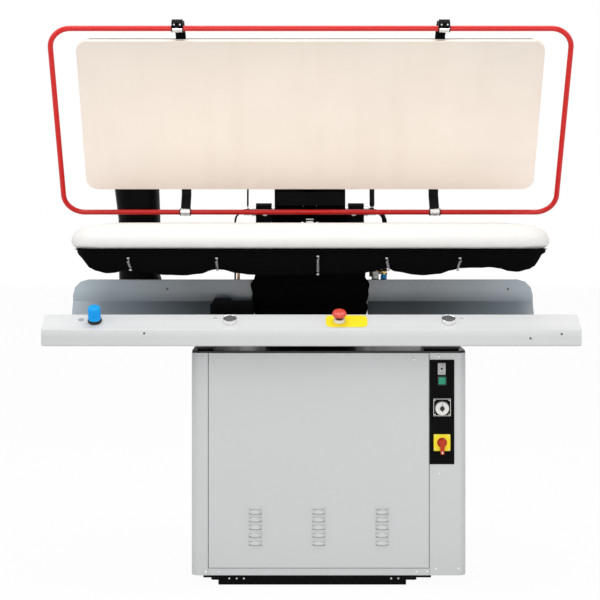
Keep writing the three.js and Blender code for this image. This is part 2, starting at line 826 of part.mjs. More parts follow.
// Buttons on the slope of the beam
function buildBeamButtons() {
  const rimRadius = 18;
  const rimHeight = 7;
  const capRadius = 14.5;
  const capHeight = 6;
  const stemLength = 22;
  const handTravel = 3;
  const seat = fitGap;
  const sides = { left: -1, right: 1 };
  Object.entries(sides).forEach(([side, sign]) => {
    const x = handButtonCentre + (sign * handButtonSpan) / 2;
    const rim = turned([
      [capRadius + runGap, seat],
      [rimRadius, seat],
      [rimRadius, rimHeight * 0.6],
      [rimRadius - seat * 5, rimHeight],
      [capRadius + runGap, rimHeight],
      [capRadius + runGap, seat],
    ], x, 0, 0, fineSides);
    const cap = turned([
      [0, -stemLength],
      [buttonBore - runGap * 2, -stemLength],
      [buttonBore - runGap * 2, seat + handTravel],
      [capRadius, seat + handTravel],
      [capRadius, capHeight + seat],
      [capRadius - seat * 6, capHeight + seat * 3],
      [0, capHeight - seat * 2],
    ], x, 0, 0, fineSides);
    place(`hand_button_rim_${side}`, rim, bareSteel(), slope);
    place(`hand_button_cap_${side}`, cap, bareSteel(), slope);
  });

  const labelLength = 107;
  const labelWidth = 56;
  const labelShift = 19;
  const labelThickness = 1.2;
  const stopCollar = 15;
  const collarHeight = 9;
  const stopTravel = 6;
  const headRadius = 18.5;
  const headHeight = 16;
  const stemRadius = stopBore - runGap * 2;
  const labelShape = rectangle(
    handButtonCentre + labelShift - labelLength / 2,
    handButtonCentre + labelShift + labelLength / 2,
    -labelWidth / 2,
    labelWidth / 2,
    labelWidth / 4,
  );
  const label = cut(
    inPlan(labelShape, seat, seat + labelThickness),
    rod([handButtonCentre, 0, 0], [handButtonCentre, 0, collarHeight], stopCollar),
  );
  place("stop_button_plate", label, yellowPlastic(), slope);
  place("stop_button_collar", turned([
    [stemRadius + runGap, seat],
    [stopCollar - fitGap, seat],
    [stopCollar - fitGap * 4, collarHeight],
    [stemRadius + runGap, collarHeight],
    [stemRadius + runGap, seat],
  ], handButtonCentre), whitePlastic(), slope);
  const headFoot = collarHeight + stopTravel + seat;
  const pinRadius = stemRadius / 2;
  place("stop_button_stem", turned([
    [0, -stemLength],
    [stemRadius, -stemLength],
    [stemRadius, headFoot],
    [pinRadius, headFoot],
    [pinRadius, headFoot + headHeight / 3],
    [0, headFoot + headHeight / 3],
  ], handButtonCentre), blackPlastic(), slope);
  place("stop_button_head", turned([
    [pinRadius + runGap, headFoot + seat],
    [headRadius * 0.7, headFoot + seat],
    [headRadius, headFoot + headHeight * 0.35],
    [headRadius, headFoot + headHeight * 0.6],
    [headRadius * 0.86, headFoot + headHeight * 0.88],
    [headRadius * 0.5, headFoot + headHeight],
    [0, headFoot + headHeight],
    [0, headFoot + headHeight / 3 + runGap],
    [pinRadius + runGap, headFoot + headHeight / 3 + runGap],
    [pinRadius + runGap, headFoot + seat],
  ], handButtonCentre, 0, 0, fineSides), redPlastic(), slope);

  const knobRadius = 16.5;
  const knobHeight = 42;
  const knobCollar = 18.5;
  const knobCollarHeight = 8;
  const fluteCount = 16;
  const fluteRadius = 1.6;
  place("regulator_collar", turned([
    [knobBore, seat],
    [knobCollar, seat],
    [knobCollar, knobCollarHeight * 0.7],
    [knobCollar - seat * 6, knobCollarHeight],
    [knobBore, knobCollarHeight],
    [knobBore, seat],
  ], blueKnobX), blackPlastic(), slope);
  const knobFoot = knobCollarHeight + runGap;
  const knob = turned([
    [0, -stemLength],
    [knobBore - runGap, -stemLength],
    [knobBore - runGap, knobFoot],
    [knobRadius, knobFoot],
    [knobRadius, knobHeight * 0.92],
    [knobRadius * 0.86, knobHeight],
    [0, knobHeight],
  ], blueKnobX, 0, 0, fineSides);
  const flutes = Array.from({ length: fluteCount }, (_, i) => {
    const angle = (2 * Math.PI * i) / fluteCount;
    const at = [blueKnobX + knobRadius * Math.cos(angle), knobRadius * Math.sin(angle)];
    return rod([...at, knobFoot + knobCollarHeight], [...at, knobHeight + overrun], fluteRadius, boltSides);
  });
  place("regulator_knob", cut(knob, flutes), bluePlastic(), slope);
}

// A body through equal rings of points: capped at both ends, or closed on itself as a sleeve
function lofted(rings, sleeve = false) {
  const count = rings[0].length;
  const positions = rings.flat().flatMap((point) => point.toArray());
  const index = [];
  const spans = sleeve ? rings.length : rings.length - 1;
  for (let r = 0; r < spans; r += 1) {
    const next = (r + 1) % rings.length;
    for (let k = 0; k < count; k += 1) {
      const [a, b] = [r * count + k, r * count + ((k + 1) % count)];
      const [c, d] = [next * count + k, next * count + ((k + 1) % count)];
      index.push(a, b, d, a, d, c);
    }
  }
  if (!sleeve) {
    [rings[0], rings[rings.length - 1]].forEach((ring, end) => {
      const middle = ring.reduce((sum, point) => sum.add(point), new THREE.Vector3()).divideScalar(count);
      const hub = positions.length / 3;
      positions.push(...middle.toArray());
      const base = end === 0 ? 0 : (rings.length - 1) * count;
      for (let k = 0; k < count; k += 1) {
        const [a, b] = [base + k, base + ((k + 1) % count)];
        index.push(...(end === 0 ? [hub, b, a] : [hub, a, b]));
      }
    });
  }
  const geometry = new THREE.BufferGeometry();
  geometry.setAttribute("position", new THREE.Float32BufferAttribute(positions, 3));
  geometry.setIndex(index);
  return geometry;
}

// A rounded oblong drawn in by an inset, as a ring at one height
function oblongRing(length, front, rear, radius, inset, z, steps = arcSteps) {
  const half = length / 2 - inset;
  const shape = rectangle(-half, half, front + inset, rear - inset, Math.max(radius - inset, radius / 20), steps);
  return shape.getPoints().map((point) => new THREE.Vector3(point.x, point.y, z));
}

const buckFront = buckRear - buckDepth;
const padBottom = buckTop - padThickness;
const panTop = padBottom - fitGap;
const panBottom = panTop - panHeight;
const skirtWall = 3;
const skirtLean = 6;
const springXShares = [-0.379, -0.196, 0.014, 0.157, 0.309];
const springLengthShares = [0.8, 0.8, 1.3, 0.75, 0.8];

// Buck: a crowned pad on a sheet pan with the suction port in its underside
function buildBuck() {
  const padSteps = 6;
  const levelShares = [
    [0.5, 0],
    [0.15, 0.1],
    [0, 0.3],
    [0.12, 0.46],
    [0.5, 0.64],
    [1.15, 0.78],
    [2, 0.88],
    [3.6, 0.95],
    [7.2, 1],
  ];
  const padRings = levelShares.map(([insetShare, heightShare]) =>
    oblongRing(
      buckLength,
      buckFront,
      buckRear,
      padPlanRadius,
      insetShare * padEdgeRadius,
      padBottom + heightShare * padThickness,
      padSteps,
    ),
  );
  place("buck_pad", lofted(padRings), whiteCloth());

  const pan = lofted([
    oblongRing(buckLength, buckFront, buckRear, padPlanRadius, panInset * 1.6, panBottom),
    oblongRing(buckLength, buckFront, buckRear, padPlanRadius, panInset, panBottom + panHeight / 3),
    oblongRing(buckLength, buckFront, buckRear, padPlanRadius, panInset, panTop),
  ]);
  const port = block(
    -columnWidth / 2 + plateWall * 2,
    columnWidth / 2 - plateWall * 2,
    columnRear - columnDepth + plateWall * 2,
    columnRear - plateWall * 2,
    panBottom - overrun,
    panBottom + panHeight / 2,
  );
  const inside = lofted([
    oblongRing(buckLength, buckFront, buckRear, padPlanRadius, panInset * 1.6 + plateWall, panBottom + plateWall),
    oblongRing(buckLength, buckFront, buckRear, padPlanRadius, panInset + plateWall, panBottom + panHeight / 3),
    oblongRing(buckLength, buckFront, buckRear, padPlanRadius, panInset + plateWall, panTop + overrun),
  ]);
  place("buck_pan", cut(pan, inside, port), blackPaint());
}

// Skirt: black cloth round the pan, drawn up where the springs hold it and full between them
function skirtHem(x, y) {
  const places = [-0.5, ...springXShares, 0.5].map((share) => share * buckLength);
  const rearShare = THREE.MathUtils.clamp((y - buckFront) / buckDepth, 0, 1);
  const index = Math.max(1, places.findIndex((place) => place >= x));
  const [from, to] = [places[index - 1], places[index]];
  const along = THREE.MathUtils.clamp((x - from) / (to - from), 0, 1);
  const fullness = Math.min((to - from) / (buckLength / 5), 1);
  const belly = Math.sin(Math.PI * along) ** 0.8 * fullness * (1 - rearShare / 2);
  const tip = THREE.MathUtils.clamp((buckLength / 2 - Math.abs(x)) / padPlanRadius, 0, 1);
  const hang = 0.42 + 0.58 * (1 - rearShare) * tip;
  return skirtDrop * (hang + 0.35 * belly);
}

function buildSkirt() {
  const steps = 4;
  const runPitch = buckLength / 22;
  const outlineShape = rectangle(
    -buckLength / 2 + panInset - skirtWall - skirtLean,
    buckLength / 2 - panInset + skirtWall + skirtLean,
    buckFront + panInset - skirtWall - skirtLean,
    buckRear - panInset + skirtWall + skirtLean,
    padPlanRadius - panInset,
    steps,
  );
  const corners = outlineShape.getPoints();
  const line = corners.flatMap((point, i) => {
    const next = corners[(i + 1) % corners.length];
    const parts = Math.max(1, Math.round(point.distanceTo(next) / runPitch));
    return Array.from({ length: parts }, (_, k) => point.clone().lerp(next, k / parts));
  });
  const middleY = (buckFront + buckRear) / 2;
  const ring = (drawn, level) =>
    line.map((point) => {
      const inward = new THREE.Vector2(-Math.sign(point.x), middleY > point.y ? 1 : -1).normalize();
      const edge = Math.min(1, (buckLength / 2 - Math.abs(point.x)) / padPlanRadius);
      inward.x *= 1 - edge;
      inward.normalize();
      const at = point.clone().addScaledVector(inward, drawn);
      return new THREE.Vector3(at.x, at.y, level(point.x, point.y));
    });
  const top = () => padBottom - fitGap;
  const middle = (x, y) => padBottom - skirtHem(x, y) * 0.6;
  const hem = (x, y) => padBottom - skirtHem(x, y);
  const outer = [ring(skirtLean / 2, top), ring(0, middle), ring(skirtLean / 2, hem)];
  const inner = [
    ring(skirtLean / 2 + skirtWall, hem),
    ring(skirtWall, middle),
    ring(skirtLean / 2 + skirtWall, top),
  ];
  place("buck_skirt", join(lofted([...outer, ...inner], true), buildSprings()), blackCloth());
}

// Tie springs: open coils with straight tails, hung in front of the skirt
function buildSprings() {
  const coilRadius = 3.6;
  const wire = 0.9;
  const curls = 5;
  const curlSteps = 8;
  const wireSides = 5;
  const springLength = 26;
  const springDrop = 12;
  const skirtLine = buckFront + panInset - skirtWall - skirtLean;
  const front = skirtLine - fitGap - coilRadius - wire * 2;
  const hooked = skirtLine + skirtLean / 2 + skirtWall / 3;
  let leastGap = Infinity;
  const springs = springXShares.map((share, i) => {
    const x = share * buckLength;
    const length = springLength * springLengthShares[i];
    const high = padBottom - springDrop;
    const tail = length / 8;
    const points = [new THREE.Vector3(x, hooked, high + tail), new THREE.Vector3(x, front, high + tail / 2)];
    for (let step = 0; step <= curls * curlSteps; step += 1) {
      const angle = (2 * Math.PI * step) / curlSteps;
      const z = high - (length * step) / (curls * curlSteps);
      points.push(new THREE.Vector3(x + coilRadius * Math.cos(angle), front + coilRadius * Math.sin(angle), z));
    }
    points.push(new THREE.Vector3(x, front, high - length - tail / 2), new THREE.Vector3(x, hooked, high - length - tail));
    points.forEach((point, a) =>
      points.slice(a + curlSteps - 1).forEach((other) => {
        leastGap = Math.min(leastGap, point.distanceTo(other) - 2 * wire);
      }),
    );
    const rings = points.map((point, k) => {
      const before = points[Math.max(k - 1, 0)];
      const after = points[Math.min(k + 1, points.length - 1)];
      const along = after.clone().sub(before).normalize();
      const side = new THREE.Vector3(0, 0, 1).cross(along).normalize();
      const out = k === 0 || k === points.length - 1 || side.length() < wire / 4 ? new THREE.Vector3(1, 0, 0) : side;
      const square = along.clone().cross(out).normalize();
      const across = square.clone().cross(along).normalize();
      return Array.from({ length: wireSides }, (_, w) => {
        const angle = (2 * Math.PI * w) / wireSides;
        return point
          .clone()
          .addScaledVector(across, wire * Math.cos(angle))
          .addScaledVector(square, wire * Math.sin(angle));
      });
    });
    return lofted(rings);
  });
  console.log(`least gap between the curls of the tie springs: ${leastGap.toFixed(2)} mm`);
  return springs;
}

// Column under the buck, and the loose black boot gathered round it
function buildColumn() {
  const flange = 20;
  const flangeThickness = 6;
  const [front, rear] = [columnRear - columnDepth, columnRear];
  const half = columnWidth / 2;
  const bore = block(-half + plateWall, half - plateWall, front + plateWall, rear - plateWall, coverTop - overrun, panTop);
  const post = join(
    block(-half, half, front, rear, coverTop, panBottom - fitGap),
    block(-half - flange, half + flange, front - flange / 2, rear + flange / 2, coverTop, coverTop + flangeThickness),
  );
  place("buck_column", cut(post, bore), blackPaint());

  const bootTop = panBottom - fitGap * 2;
  const bootBottom = trayFloor + cabinetGap;
  const folds = 13;
  const foldDepth = 5;
  const bootWall = 3;
  const perSide = 11;
  const heights = [0, 0.22, 0.46, 0.7, 0.88, 1];
  const drawInShares = [0.1, 0.35, 0.15, 0, 0.25, 0.5];
  const outlinePoints = rectangle(
    -bootWidth / 2,
    bootWidth / 2,
    columnMiddleY - bootDepth / 2,
    columnMiddleY + bootDepth / 2,
    columnWidth / 8,
    3,
  ).getPoints();
  const line = outlinePoints.flatMap((point, i) => {
    const next = outlinePoints[(i + 1) % outlinePoints.length];
    const parts = Math.max(1, Math.round((point.distanceTo(next) / bootWidth) * perSide));
    return Array.from({ length: parts }, (_, k) => point.clone().lerp(next, k / parts));
  });
  const centre = new THREE.Vector2(0, columnMiddleY);
  const ring = (share, drawShare, wall) =>
    line.map((point, k) => {
      const inward = centre.clone().sub(point).normalize();
      const wave = (1 + Math.sin((2 * Math.PI * folds * k) / line.length + share * 2)) / 2;
      const draw = foldDepth * wave + drawShare * foldDepth * 3 + wall;
      const at = point.clone().addScaledVector(inward, draw);
      return new THREE.Vector3(at.x, at.y, bootBottom + share * (bootTop - bootBottom));
    });
  const outer = heights.map((share, i) => ring(share, drawInShares[i], 0));
  const inner = heights.map((share, i) => ring(share, drawInShares[i], bootWall)).reverse();
  place("column_boot", lofted([...outer, ...inner], true), blackCloth());
}

// Damper box on the tray, steam pipes and the steam valve beside the column
function buildServices() {
  const boxLength = 118;
  const boxHeight = 62;
  const boxDepth = 68;
  const boxFront = -176;
  const boxRight = -bootWidth / 2 - plateWall;
  const step = 14;
  const boxBottom = trayFloor + beamWall;
  const profile = outline([
    [boxRight - boxLength, boxBottom],
    [boxRight, boxBottom],
    [boxRight, boxBottom + boxHeight - step / 2],
    [boxRight - boxLength / 2, boxBottom + boxHeight - step / 2],
    [boxRight - boxLength / 2 - step / 2, boxBottom + boxHeight, step / 4],
    [boxRight - boxLength + step / 2, boxBottom + boxHeight, step / 2],
    [boxRight - boxLength + step / 2, boxBottom + boxHeight - step],
    [boxRight - boxLength, boxBottom + boxHeight - step],
  ]);
  place("damper_box", inFront(profile, boxFront, boxFront + boxDepth), blackPaint());

  const pipeRadius = 4;
  const supplyX = -202;
  const returnX = 176;
  const pipeY = -20;
  const valveZ = 822;
  const valveHalf = 13;
  const capRadius = 9;
  const pipe = (x, z0, z1, radius) => rod([x, pipeY, z0], [x, pipeY, z1], radius, smallSides);
  const valveBottom = valveZ - valveHalf;
  const valveTop = valveZ + valveHalf;
  place("steam_supply_pipe", pipe(supplyX, coverTop, panBottom - fitGap, pipeRadius), copper());
  const body = join(
    pipe(returnX, coverTop, valveBottom + fitGap, pipeRadius),
    pipe(returnX, valveBottom, valveTop, valveHalf * 0.8),
    rod([returnX, pipeY, valveZ], [returnX + valveHalf * 2, pipeY, valveZ], capRadius * 0.7, smallSides),
    pipe(returnX, valveTop - fitGap, panBottom - fitGap, pipeRadius),
  );
  const capFrom = returnX + valveHalf * 2 - fitGap;
  const cap = rod([capFrom, pipeY, valveZ], [capFrom + capRadius * 1.5, pipeY, valveZ], capRadius);
  place("steam_valve", join(body, cap), brass());
}

// Stand behind the buck: two cheeks, a cross beam, bearing blocks and the air cylinder
const crossDrop = 42;
const crossTop = pivotZ - crossDrop;
const crossHeight = 30;
const bearingInner = 112;
const bearingWidth = 46;
const bearingHalf = 24;
const bearingBaseHalf = 45;
const bearingFoot = 12;
const armHalf = 103;
const armWall = 6;
const hubRadius = 26;
const eyeHalf = 11.7;
const leverWall = 7;
const cylinderTop = 850;
const swivelRadius = 13;
const swivelLength = 24;

function buildStand() {
  const standRear = standFront + standDepth;
  const headDepth = 68;
  const cheek = outline([
    [standFront, coverTop],
    [standRear, coverTop],
    [standRear, coverTop + cheekThickness * 3],
    [standFront + headDepth, crossTop],
    [standFront, crossTop],
  ]);
  const inner = standHalfWidth - cheekThickness;
  const cheeks = [inSide(cheek, -standHalfWidth, -inner), inSide(cheek, inner, standHalfWidth)];
  const crossFront = standFront + cheekThickness / 3;
  const crossDepth = 42;
  const beam = inSide(
    rectangle(crossFront, crossFront + crossDepth, crossTop - crossHeight, crossTop, plateWall),
    -inner,
    inner,
  );
  const bore = block(
    -standHalfWidth - overrun,
    standHalfWidth + overrun,
    crossFront + plateWall,
    crossFront + crossDepth - plateWall,
    crossTop - crossHeight + plateWall,
    crossTop - plateWall,
  );

  const bearing = outline([
    [pivotY - bearingBaseHalf, crossTop],
    [pivotY + bearingBaseHalf, crossTop],
    [pivotY + bearingBaseHalf, crossTop + bearingFoot, plateWall],
    [pivotY + bearingHalf, crossTop + bearingFoot, plateWall],
    [pivotY + bearingHalf, pivotZ + bearingHalf, bearingHalf * 0.9],
    [pivotY - bearingHalf, pivotZ + bearingHalf, bearingHalf * 0.9],
    [pivotY - bearingHalf, crossTop + bearingFoot, plateWall],
    [pivotY - bearingBaseHalf, crossTop + bearingFoot, plateWall],
  ]);
  const shaftRoom = rod(
    [-shaftLength, pivotY, pivotZ],
    [shaftLength, pivotY, pivotZ],
    shaftDiameter / 2 + runGap,
    fineSides,
  );
  const boltRadius = 5;
  const boltHeight = 6;
  const boltSet = bearingHalf + (bearingBaseHalf - bearingHalf) / 2 + plateWall / 2;
  const bearings = [-1, 1].map((sign) => {
    const [x0, x1] = [sign * bearingInner, sign * (bearingInner + bearingWidth)].sort((p, q) => p - q);
    return cut(inSide(bearing, x0, x1), shaftRoom);
  });
  const bolts = [-1, 1].flatMap((sign) =>
    [-1, 1].map((end) => {
      const at = [sign * (bearingInner + bearingWidth / 2), pivotY + end * boltSet];
      return rod([...at, crossTop], [...at, crossTop + bearingFoot + boltHeight], boltRadius, boltSides);
    }),
  );
  place("stand_frame", join(cut(join(cheeks, beam), bore), bearings, bolts), blackPaint());
}

// Air cylinder: fixed barrel, rising rod and a slotted rod end round the lever pin
function buildCylinder() {
  const footHeightHere = 40;
  const barrelBottom = coverTop + footHeightHere;
  const headBlock = 22;
  const radius = cylinderDiameter / 2;
  const barrelTop = cylinderTop;
  const capProud = 3;
  const capHalf = radius + capProud;
  const tieRadius = 4;
  const at = [0, cylinderY];
  const bodyCap = (z0, z1) => block(-capHalf, capHalf, cylinderY - capHalf, cylinderY + capHalf, z0, z1);
  const barrel = join(
    rod([...at, barrelBottom], [...at, barrelTop], radius, fineSides),
    bodyCap(barrelBottom, barrelBottom + headBlock),
    bodyCap(barrelTop - headBlock, barrelTop),
    [-1, 1].flatMap((sx) =>
      [-1, 1].map((sy) => {
        const tie = [sx * (capHalf - tieRadius * 1.6), cylinderY + sy * (capHalf - tieRadius * 1.6)];
        return rod([...tie, barrelBottom], [...tie, barrelTop + tieRadius], tieRadius, smallSides);
      }),
    ),
  );
  const stroke = leverRadius * 2 * Math.sin(openAngle / 2);
  const rodBottom = barrelTop - stroke - headBlock * 2;
  const bore = rod([...at, rodBottom], [...at, barrelTop + overrun], rodDiameter / 2 + runGap, fineSides);
  const mounting = join(
    block(-capHalf, capHalf, cylinderY - capHalf / 2, cylinderY + capHalf / 2, coverTop, coverTop + bearingFoot),
    block(-bearingFoot, bearingFoot, cylinderY - capHalf / 2, cylinderY + capHalf / 2, coverTop, barrelBottom + overrun),
  );
  place("air_cylinder", cut(join(barrel, mounting), bore), bareSteel());

  const pinDrop = leverRadius * Math.sin(openAngle / 2);
  const pinZ = pivotZ - pinDrop;
  const slotGap = 1.4;
  const pinNear = pivotY + leverRadius * Math.cos(openAngle / 2);
  const pinFar = pivotY + leverRadius;
  const slotHalf = leverPin / 2 + slotGap;
  const eyeWall = 8;
  const eye = inSide(
    rectangle(
      pinNear - slotHalf - eyeWall,
      pinFar + slotHalf + eyeWall,
      pinZ - slotHalf - eyeWall,
      pinZ + slotHalf + eyeWall,
      eyeWall,
    ),
    -eyeHalf,
    eyeHalf,
  );
  const slot = inSide(
    rectangle(pinNear - slotHalf, pinFar + slotHalf, pinZ - slotHalf, pinZ + slotHalf, slotHalf * 0.9),
    -eyeHalf - overrun,
    eyeHalf + overrun,
  );
  const rodLength = rod([...at, rodBottom + headBlock], [...at, pinZ - slotHalf - eyeWall / 2], rodDiameter / 2, fineSides);
  place("cylinder_rod", cut(join(eye, rodLength), slot), bareSteel());
}

// Everything on the head, drawn closed about the pivot and then turned open
const head = new THREE.Group();
head.position.set(0, pivotY, pivotZ);
head.rotation.x = -openAngle;
press.add(head);

const plateRear = -plateEdgeSetback;
const plateFront = plateRear - plateDepth;
const plateFace = -plateFaceDrop;
const plateBack = plateFace + plateThickness;
const casingBottom = plateBack + fitGap;
const casingTop = casingBottom + casingHeight;
const armFoot = casingTop + fitGap;

function buildHeadPlate(screws) {
  const edge = 2;
  const steps = 5;
  const ring = (inset, z) => oblongRing(plateLength, plateFront, plateRear, plateCornerRadius, inset, z, steps);
  place("head_plate", lofted([ring(edge, plateFace), ring(0, plateFace + edge), ring(0, plateBack)]), polishedSteel(), head);
  const slopeInset = 30;
  const casing = lofted([
    ring(casingInset, casingBottom),
    ring(casingInset, casingTop - slopeInset * 0.6),
    ring(slopeInset, casingTop),
  ]);
  const chest = lofted([
    ring(casingInset + plateWall, casingBottom - overrun),
    ring(casingInset + plateWall, casingTop - slopeInset * 0.6 - plateWall),
    ring(slopeInset + plateWall, casingTop - plateWall),
  ]);
  place("head_casing", cut(join(casing, screws), chest), blackPaint(), head);
}

function buildArm() {
  const armReach = -400;
  const armHigh = 112;
  const hubSide = 34;
  const backLine = [
    [hubSide * 0.3, armHigh * 0.62],
    [-armHigh * 1.25, armHigh],
    [armReach, armFoot + armHigh * 0.28],
  ];
  const flangeShape = outline([
    [armReach, armFoot],
    [plateRear - plateWall, armFoot],
    [-hubSide * 1.9, -hubSide * 0.2],
    [-hubSide * 0.85, -hubSide * 0.78, hubSide * 0.5],
    [hubSide * 0.78, -hubSide * 0.78, hubSide * 0.6],
    [hubSide, hubSide * 0.5, hubSide * 0.3],
    ...backLine,
  ]);
  const shaftHole = rod([-armHalf * 2, 0, 0], [armHalf * 2, 0, 0], shaftDiameter / 2 + fitGap, fineSides);
  const flanges = [-1, 1].map((sign) => {
    const [x0, x1] = [sign * armHalf, sign * (armHalf - armWall)].sort((p, q) => p - q);
    return inSide(flangeShape, x0, x1);
  });
  const webSet = 2.5;
  const webLine = backLine.map(([y, z], i) => [y + webSet * (i - 1), z - webSet]);
  const web = inSide(bentSheet(webLine, armWall, 0), -armHalf + armWall / 2, armHalf - armWall / 2);
  const underLine = [
    [-hubSide * 1.9 - webSet, -hubSide * 0.2 + webSet * 3],
    [plateRear - plateWall - webSet, armFoot + webSet],
    [plateRear - plateWall - armWall * 4, armFoot + webSet],
  ];
  const underWeb = inSide(bentSheet(underLine, armWall * 0.6, 0), -armHalf + armWall / 2, armHalf - armWall / 2);
  const leverOuter = eyeHalf + fitGap + leverWall + fitGap * 2;
  const tubes = [-1, 1].map((sign) => rod([sign * leverOuter, 0, 0], [sign * (armHalf - armWall / 2), 0, 0], hubRadius, fineSides));
  const gap = rod([-leverOuter, 0, 0], [leverOuter, 0, 0], leverRadius, fineSides);
  const trimmedUnder = cut(underWeb, gap);
  place("head_arm", cut(join(flanges, web, trimmedUnder, tubes), shaftHole), blackPaint(), head);
  const shaft = rod([-shaftLength / 2, 0, 0], [shaftLength / 2, 0, 0], shaftDiameter / 2, fineSides);
  const swivels = [-1, 1].map((sign) =>
    rod([(sign * shaftLength) / 2, 0, 0], [sign * (shaftLength / 2 + swivelLength), 0, 0], swivelRadius),
  );
  place("head_shaft", join(shaft, swivels), bareSteel(), head);

  const lean = openAngle / 2;
  const pinAt = [leverRadius * Math.cos(lean), leverRadius * Math.sin(lean)];
  const pinRoom = leverPin / 2 + fitGap;
  const eyeRadius = leverPin;
  const leverShape = (x0, x1) => {
    const across = new THREE.Vector2(-Math.sin(lean), Math.cos(lean));
    const bar = outline([
      [across.x * hubRadius * 0.95, across.y * hubRadius * 0.95],
      [-across.x * hubRadius * 0.95, -across.y * hubRadius * 0.95],
      [pinAt[0] - across.x * eyeRadius * 0.95, pinAt[1] - across.y * eyeRadius * 0.95],
      [pinAt[0] + across.x * eyeRadius * 0.95, pinAt[1] + across.y * eyeRadius * 0.95],
    ]);
    return join(
      inSide(bar, x0, x1),
      rod([x0, 0, 0], [x1, 0, 0], hubRadius, fineSides),
      rod([x0, ...pinAt], [x1, ...pinAt], eyeRadius, roundSides),
    );
  };
  const innerX = eyeHalf + fitGap;
  const outerX = innerX + leverWall;
  const plates = [leverShape(innerX, outerX), leverShape(-outerX, -innerX)];
  const core = rod([-innerX - overrun, 0, 0], [innerX + overrun, 0, 0], hubRadius * 0.85, fineSides);
  const pinHole = rod([-armHalf, ...pinAt], [armHalf, ...pinAt], pinRoom, roundSides);
  place("closing_lever", cut(join(plates, core), shaftHole, pinHole), blackPaint(), head);
  const pinEnd = outerX + leverWall;
  place("lever_pin", rod([-pinEnd, ...pinAt], [pinEnd, ...pinAt], leverPin / 2, roundSides), bareSteel(), head);
}

// Guard: one red tube ring held by four black straps in split clamps
const guardRear = plateRear + guardRearSet;
const guardFront = plateFront - guardFrontSet;
const guardHeight = plateFace - guardStandOff;
const strapXShare = 0.5585;

function buildGuard() {
  const steps = 5;
  const half = guardLength / 2 - guardTube / 2;
  const shape = rectangle(-half, half, guardFront, guardRear, guardCornerRadius, steps);
  place("guard_tube", ringTube(shape, guardHeight, guardTube / 2, smallSides), redPaint(), head);

  const bend = 6;
  const strapSet = 20;
  const clampRadius = guardTube / 2 + strapThickness;
  const clampGap = clampRadius + fitGap;
  const screwRadius = 2.6;
  const screwHead = 5.5;
  const screwPitch = 15;
  const screwRise = strapThickness + guardTravel + fitGap * 3;
  const strapFoot = casingTop + fitGap;
  const ends = {
    front: { edge: plateFront + casingInset + strapSet, out: -1, tubeY: guardFront },
    rear: { edge: plateRear - casingInset - strapSet, out: 1, tubeY: guardRear },
  };
  const screws = [];
  Object.entries(ends).forEach(([end, { edge, out, tubeY }]) => {
    const flatLength = 52;
    const shoulder = tubeY - out * (clampGap + strapThickness);
    const line = [
      [edge - out * flatLength, strapFoot],
      [edge + out * strapWidth * 0.7, strapFoot],
      [shoulder, strapFoot - casingHeight * 0.7],
      [tubeY, guardHeight + clampRadius - fitGap],
    ];
    const drawn = out < 0 ? line.slice().reverse() : line;
    const profile = bentSheet(drawn, strapThickness, bend / 2);
    Object.entries({ left: -1, right: 1 }).forEach(([side, sign]) => {
      const x = (sign * strapXShare * plateLength) / 2;
      const strap = inSide(profile, x - strapWidth / 2, x + strapWidth / 2);
      const spots = spread(2, screwPitch, edge - (out * flatLength) / 2);
      const holes = spots.map((y) =>
        rod([x, y, strapFoot - overrun], [x, y, strapFoot + casingHeight], screwRadius + runGap, smallSides),
      );
      spots.forEach((y) => {
        screws.push(
          join(
            rod([x, y, casingTop - overrun], [x, y, strapFoot + screwRise + fitGap], screwRadius, smallSides),
            rod([x, y, strapFoot + screwRise], [x, y, strapFoot + screwRise + strapThickness], screwHead, smallSides),
          ),
        );
      });
      const ringBody = rod(
        [x - clampWidth / 2, tubeY, guardHeight],
        [x + clampWidth / 2, tubeY, guardHeight],
        clampRadius,
        roundSides,
      );
      const ringBore = rod(
        [x - clampWidth, tubeY, guardHeight],
        [x + clampWidth, tubeY, guardHeight],
        guardTube / 2 + fitGap,
        roundSides,
      );
      place(`guard_strap_${end}_${side}`, join(cut(strap, holes), cut(ringBody, ringBore)), blackPaint(), head);
    });
  });
  return screws;
}

// Lines to the head leave the shaft ends, so they turn with it; fixed lines meet them on the axis
function buildLines() {
  const lineSteps = 12;
  const hoseRadius = 8;
  const cableRadius = 3;
  const shaftEnd = shaftLength / 2;
  const lines = [
    { sign: 1, name: "steam", radius: hoseRadius },
    { sign: -1, name: "signal", radius: cableRadius },
  ];
  lines.forEach(({ sign, name, radius }) => {
    const inner = sign * shaftEnd;
    const outer = sign * (shaftEnd + swivelLength);
    const middle = (inner + outer) / 2;
    const rise = casingTop + swivelRadius * 2;
    const reach = plateRear - swivelRadius * 4;
    place(`${name}_line_head`, tube([
      [middle, -swivelRadius - fitGap * 2, 0],
      [middle, -swivelRadius * 2, swivelRadius / 4],
      [middle, -swivelRadius * 4, swivelRadius * 2],
      [middle, plateRear, rise],
      [middle, reach + swivelRadius, rise],
      [middle, reach, rise - swivelRadius],
      [middle, reach, casingTop + fitGap],
    ], radius, lineSteps, smallSides), rubber(), head);
    const start = outer + sign * fitGap;
    const dropX = start + sign * swivelRadius * 2;
    const back = pivotY + swivelRadius * 2;
    place(`${name}_line_stand`, tube([
      [start, pivotY, pivotZ],
      [start + sign * swivelRadius, pivotY, pivotZ],
      [dropX, pivotY + swivelRadius / 2, pivotZ - swivelRadius],
      [dropX, back, pivotZ - swivelRadius * 4],
      [dropX, back, (pivotZ + coverTop) / 2],
      [dropX, back, coverTop + swivelRadius],
      [dropX, back, coverTop],
    ], radius, lineSteps, smallSides), rubber());
  });
}

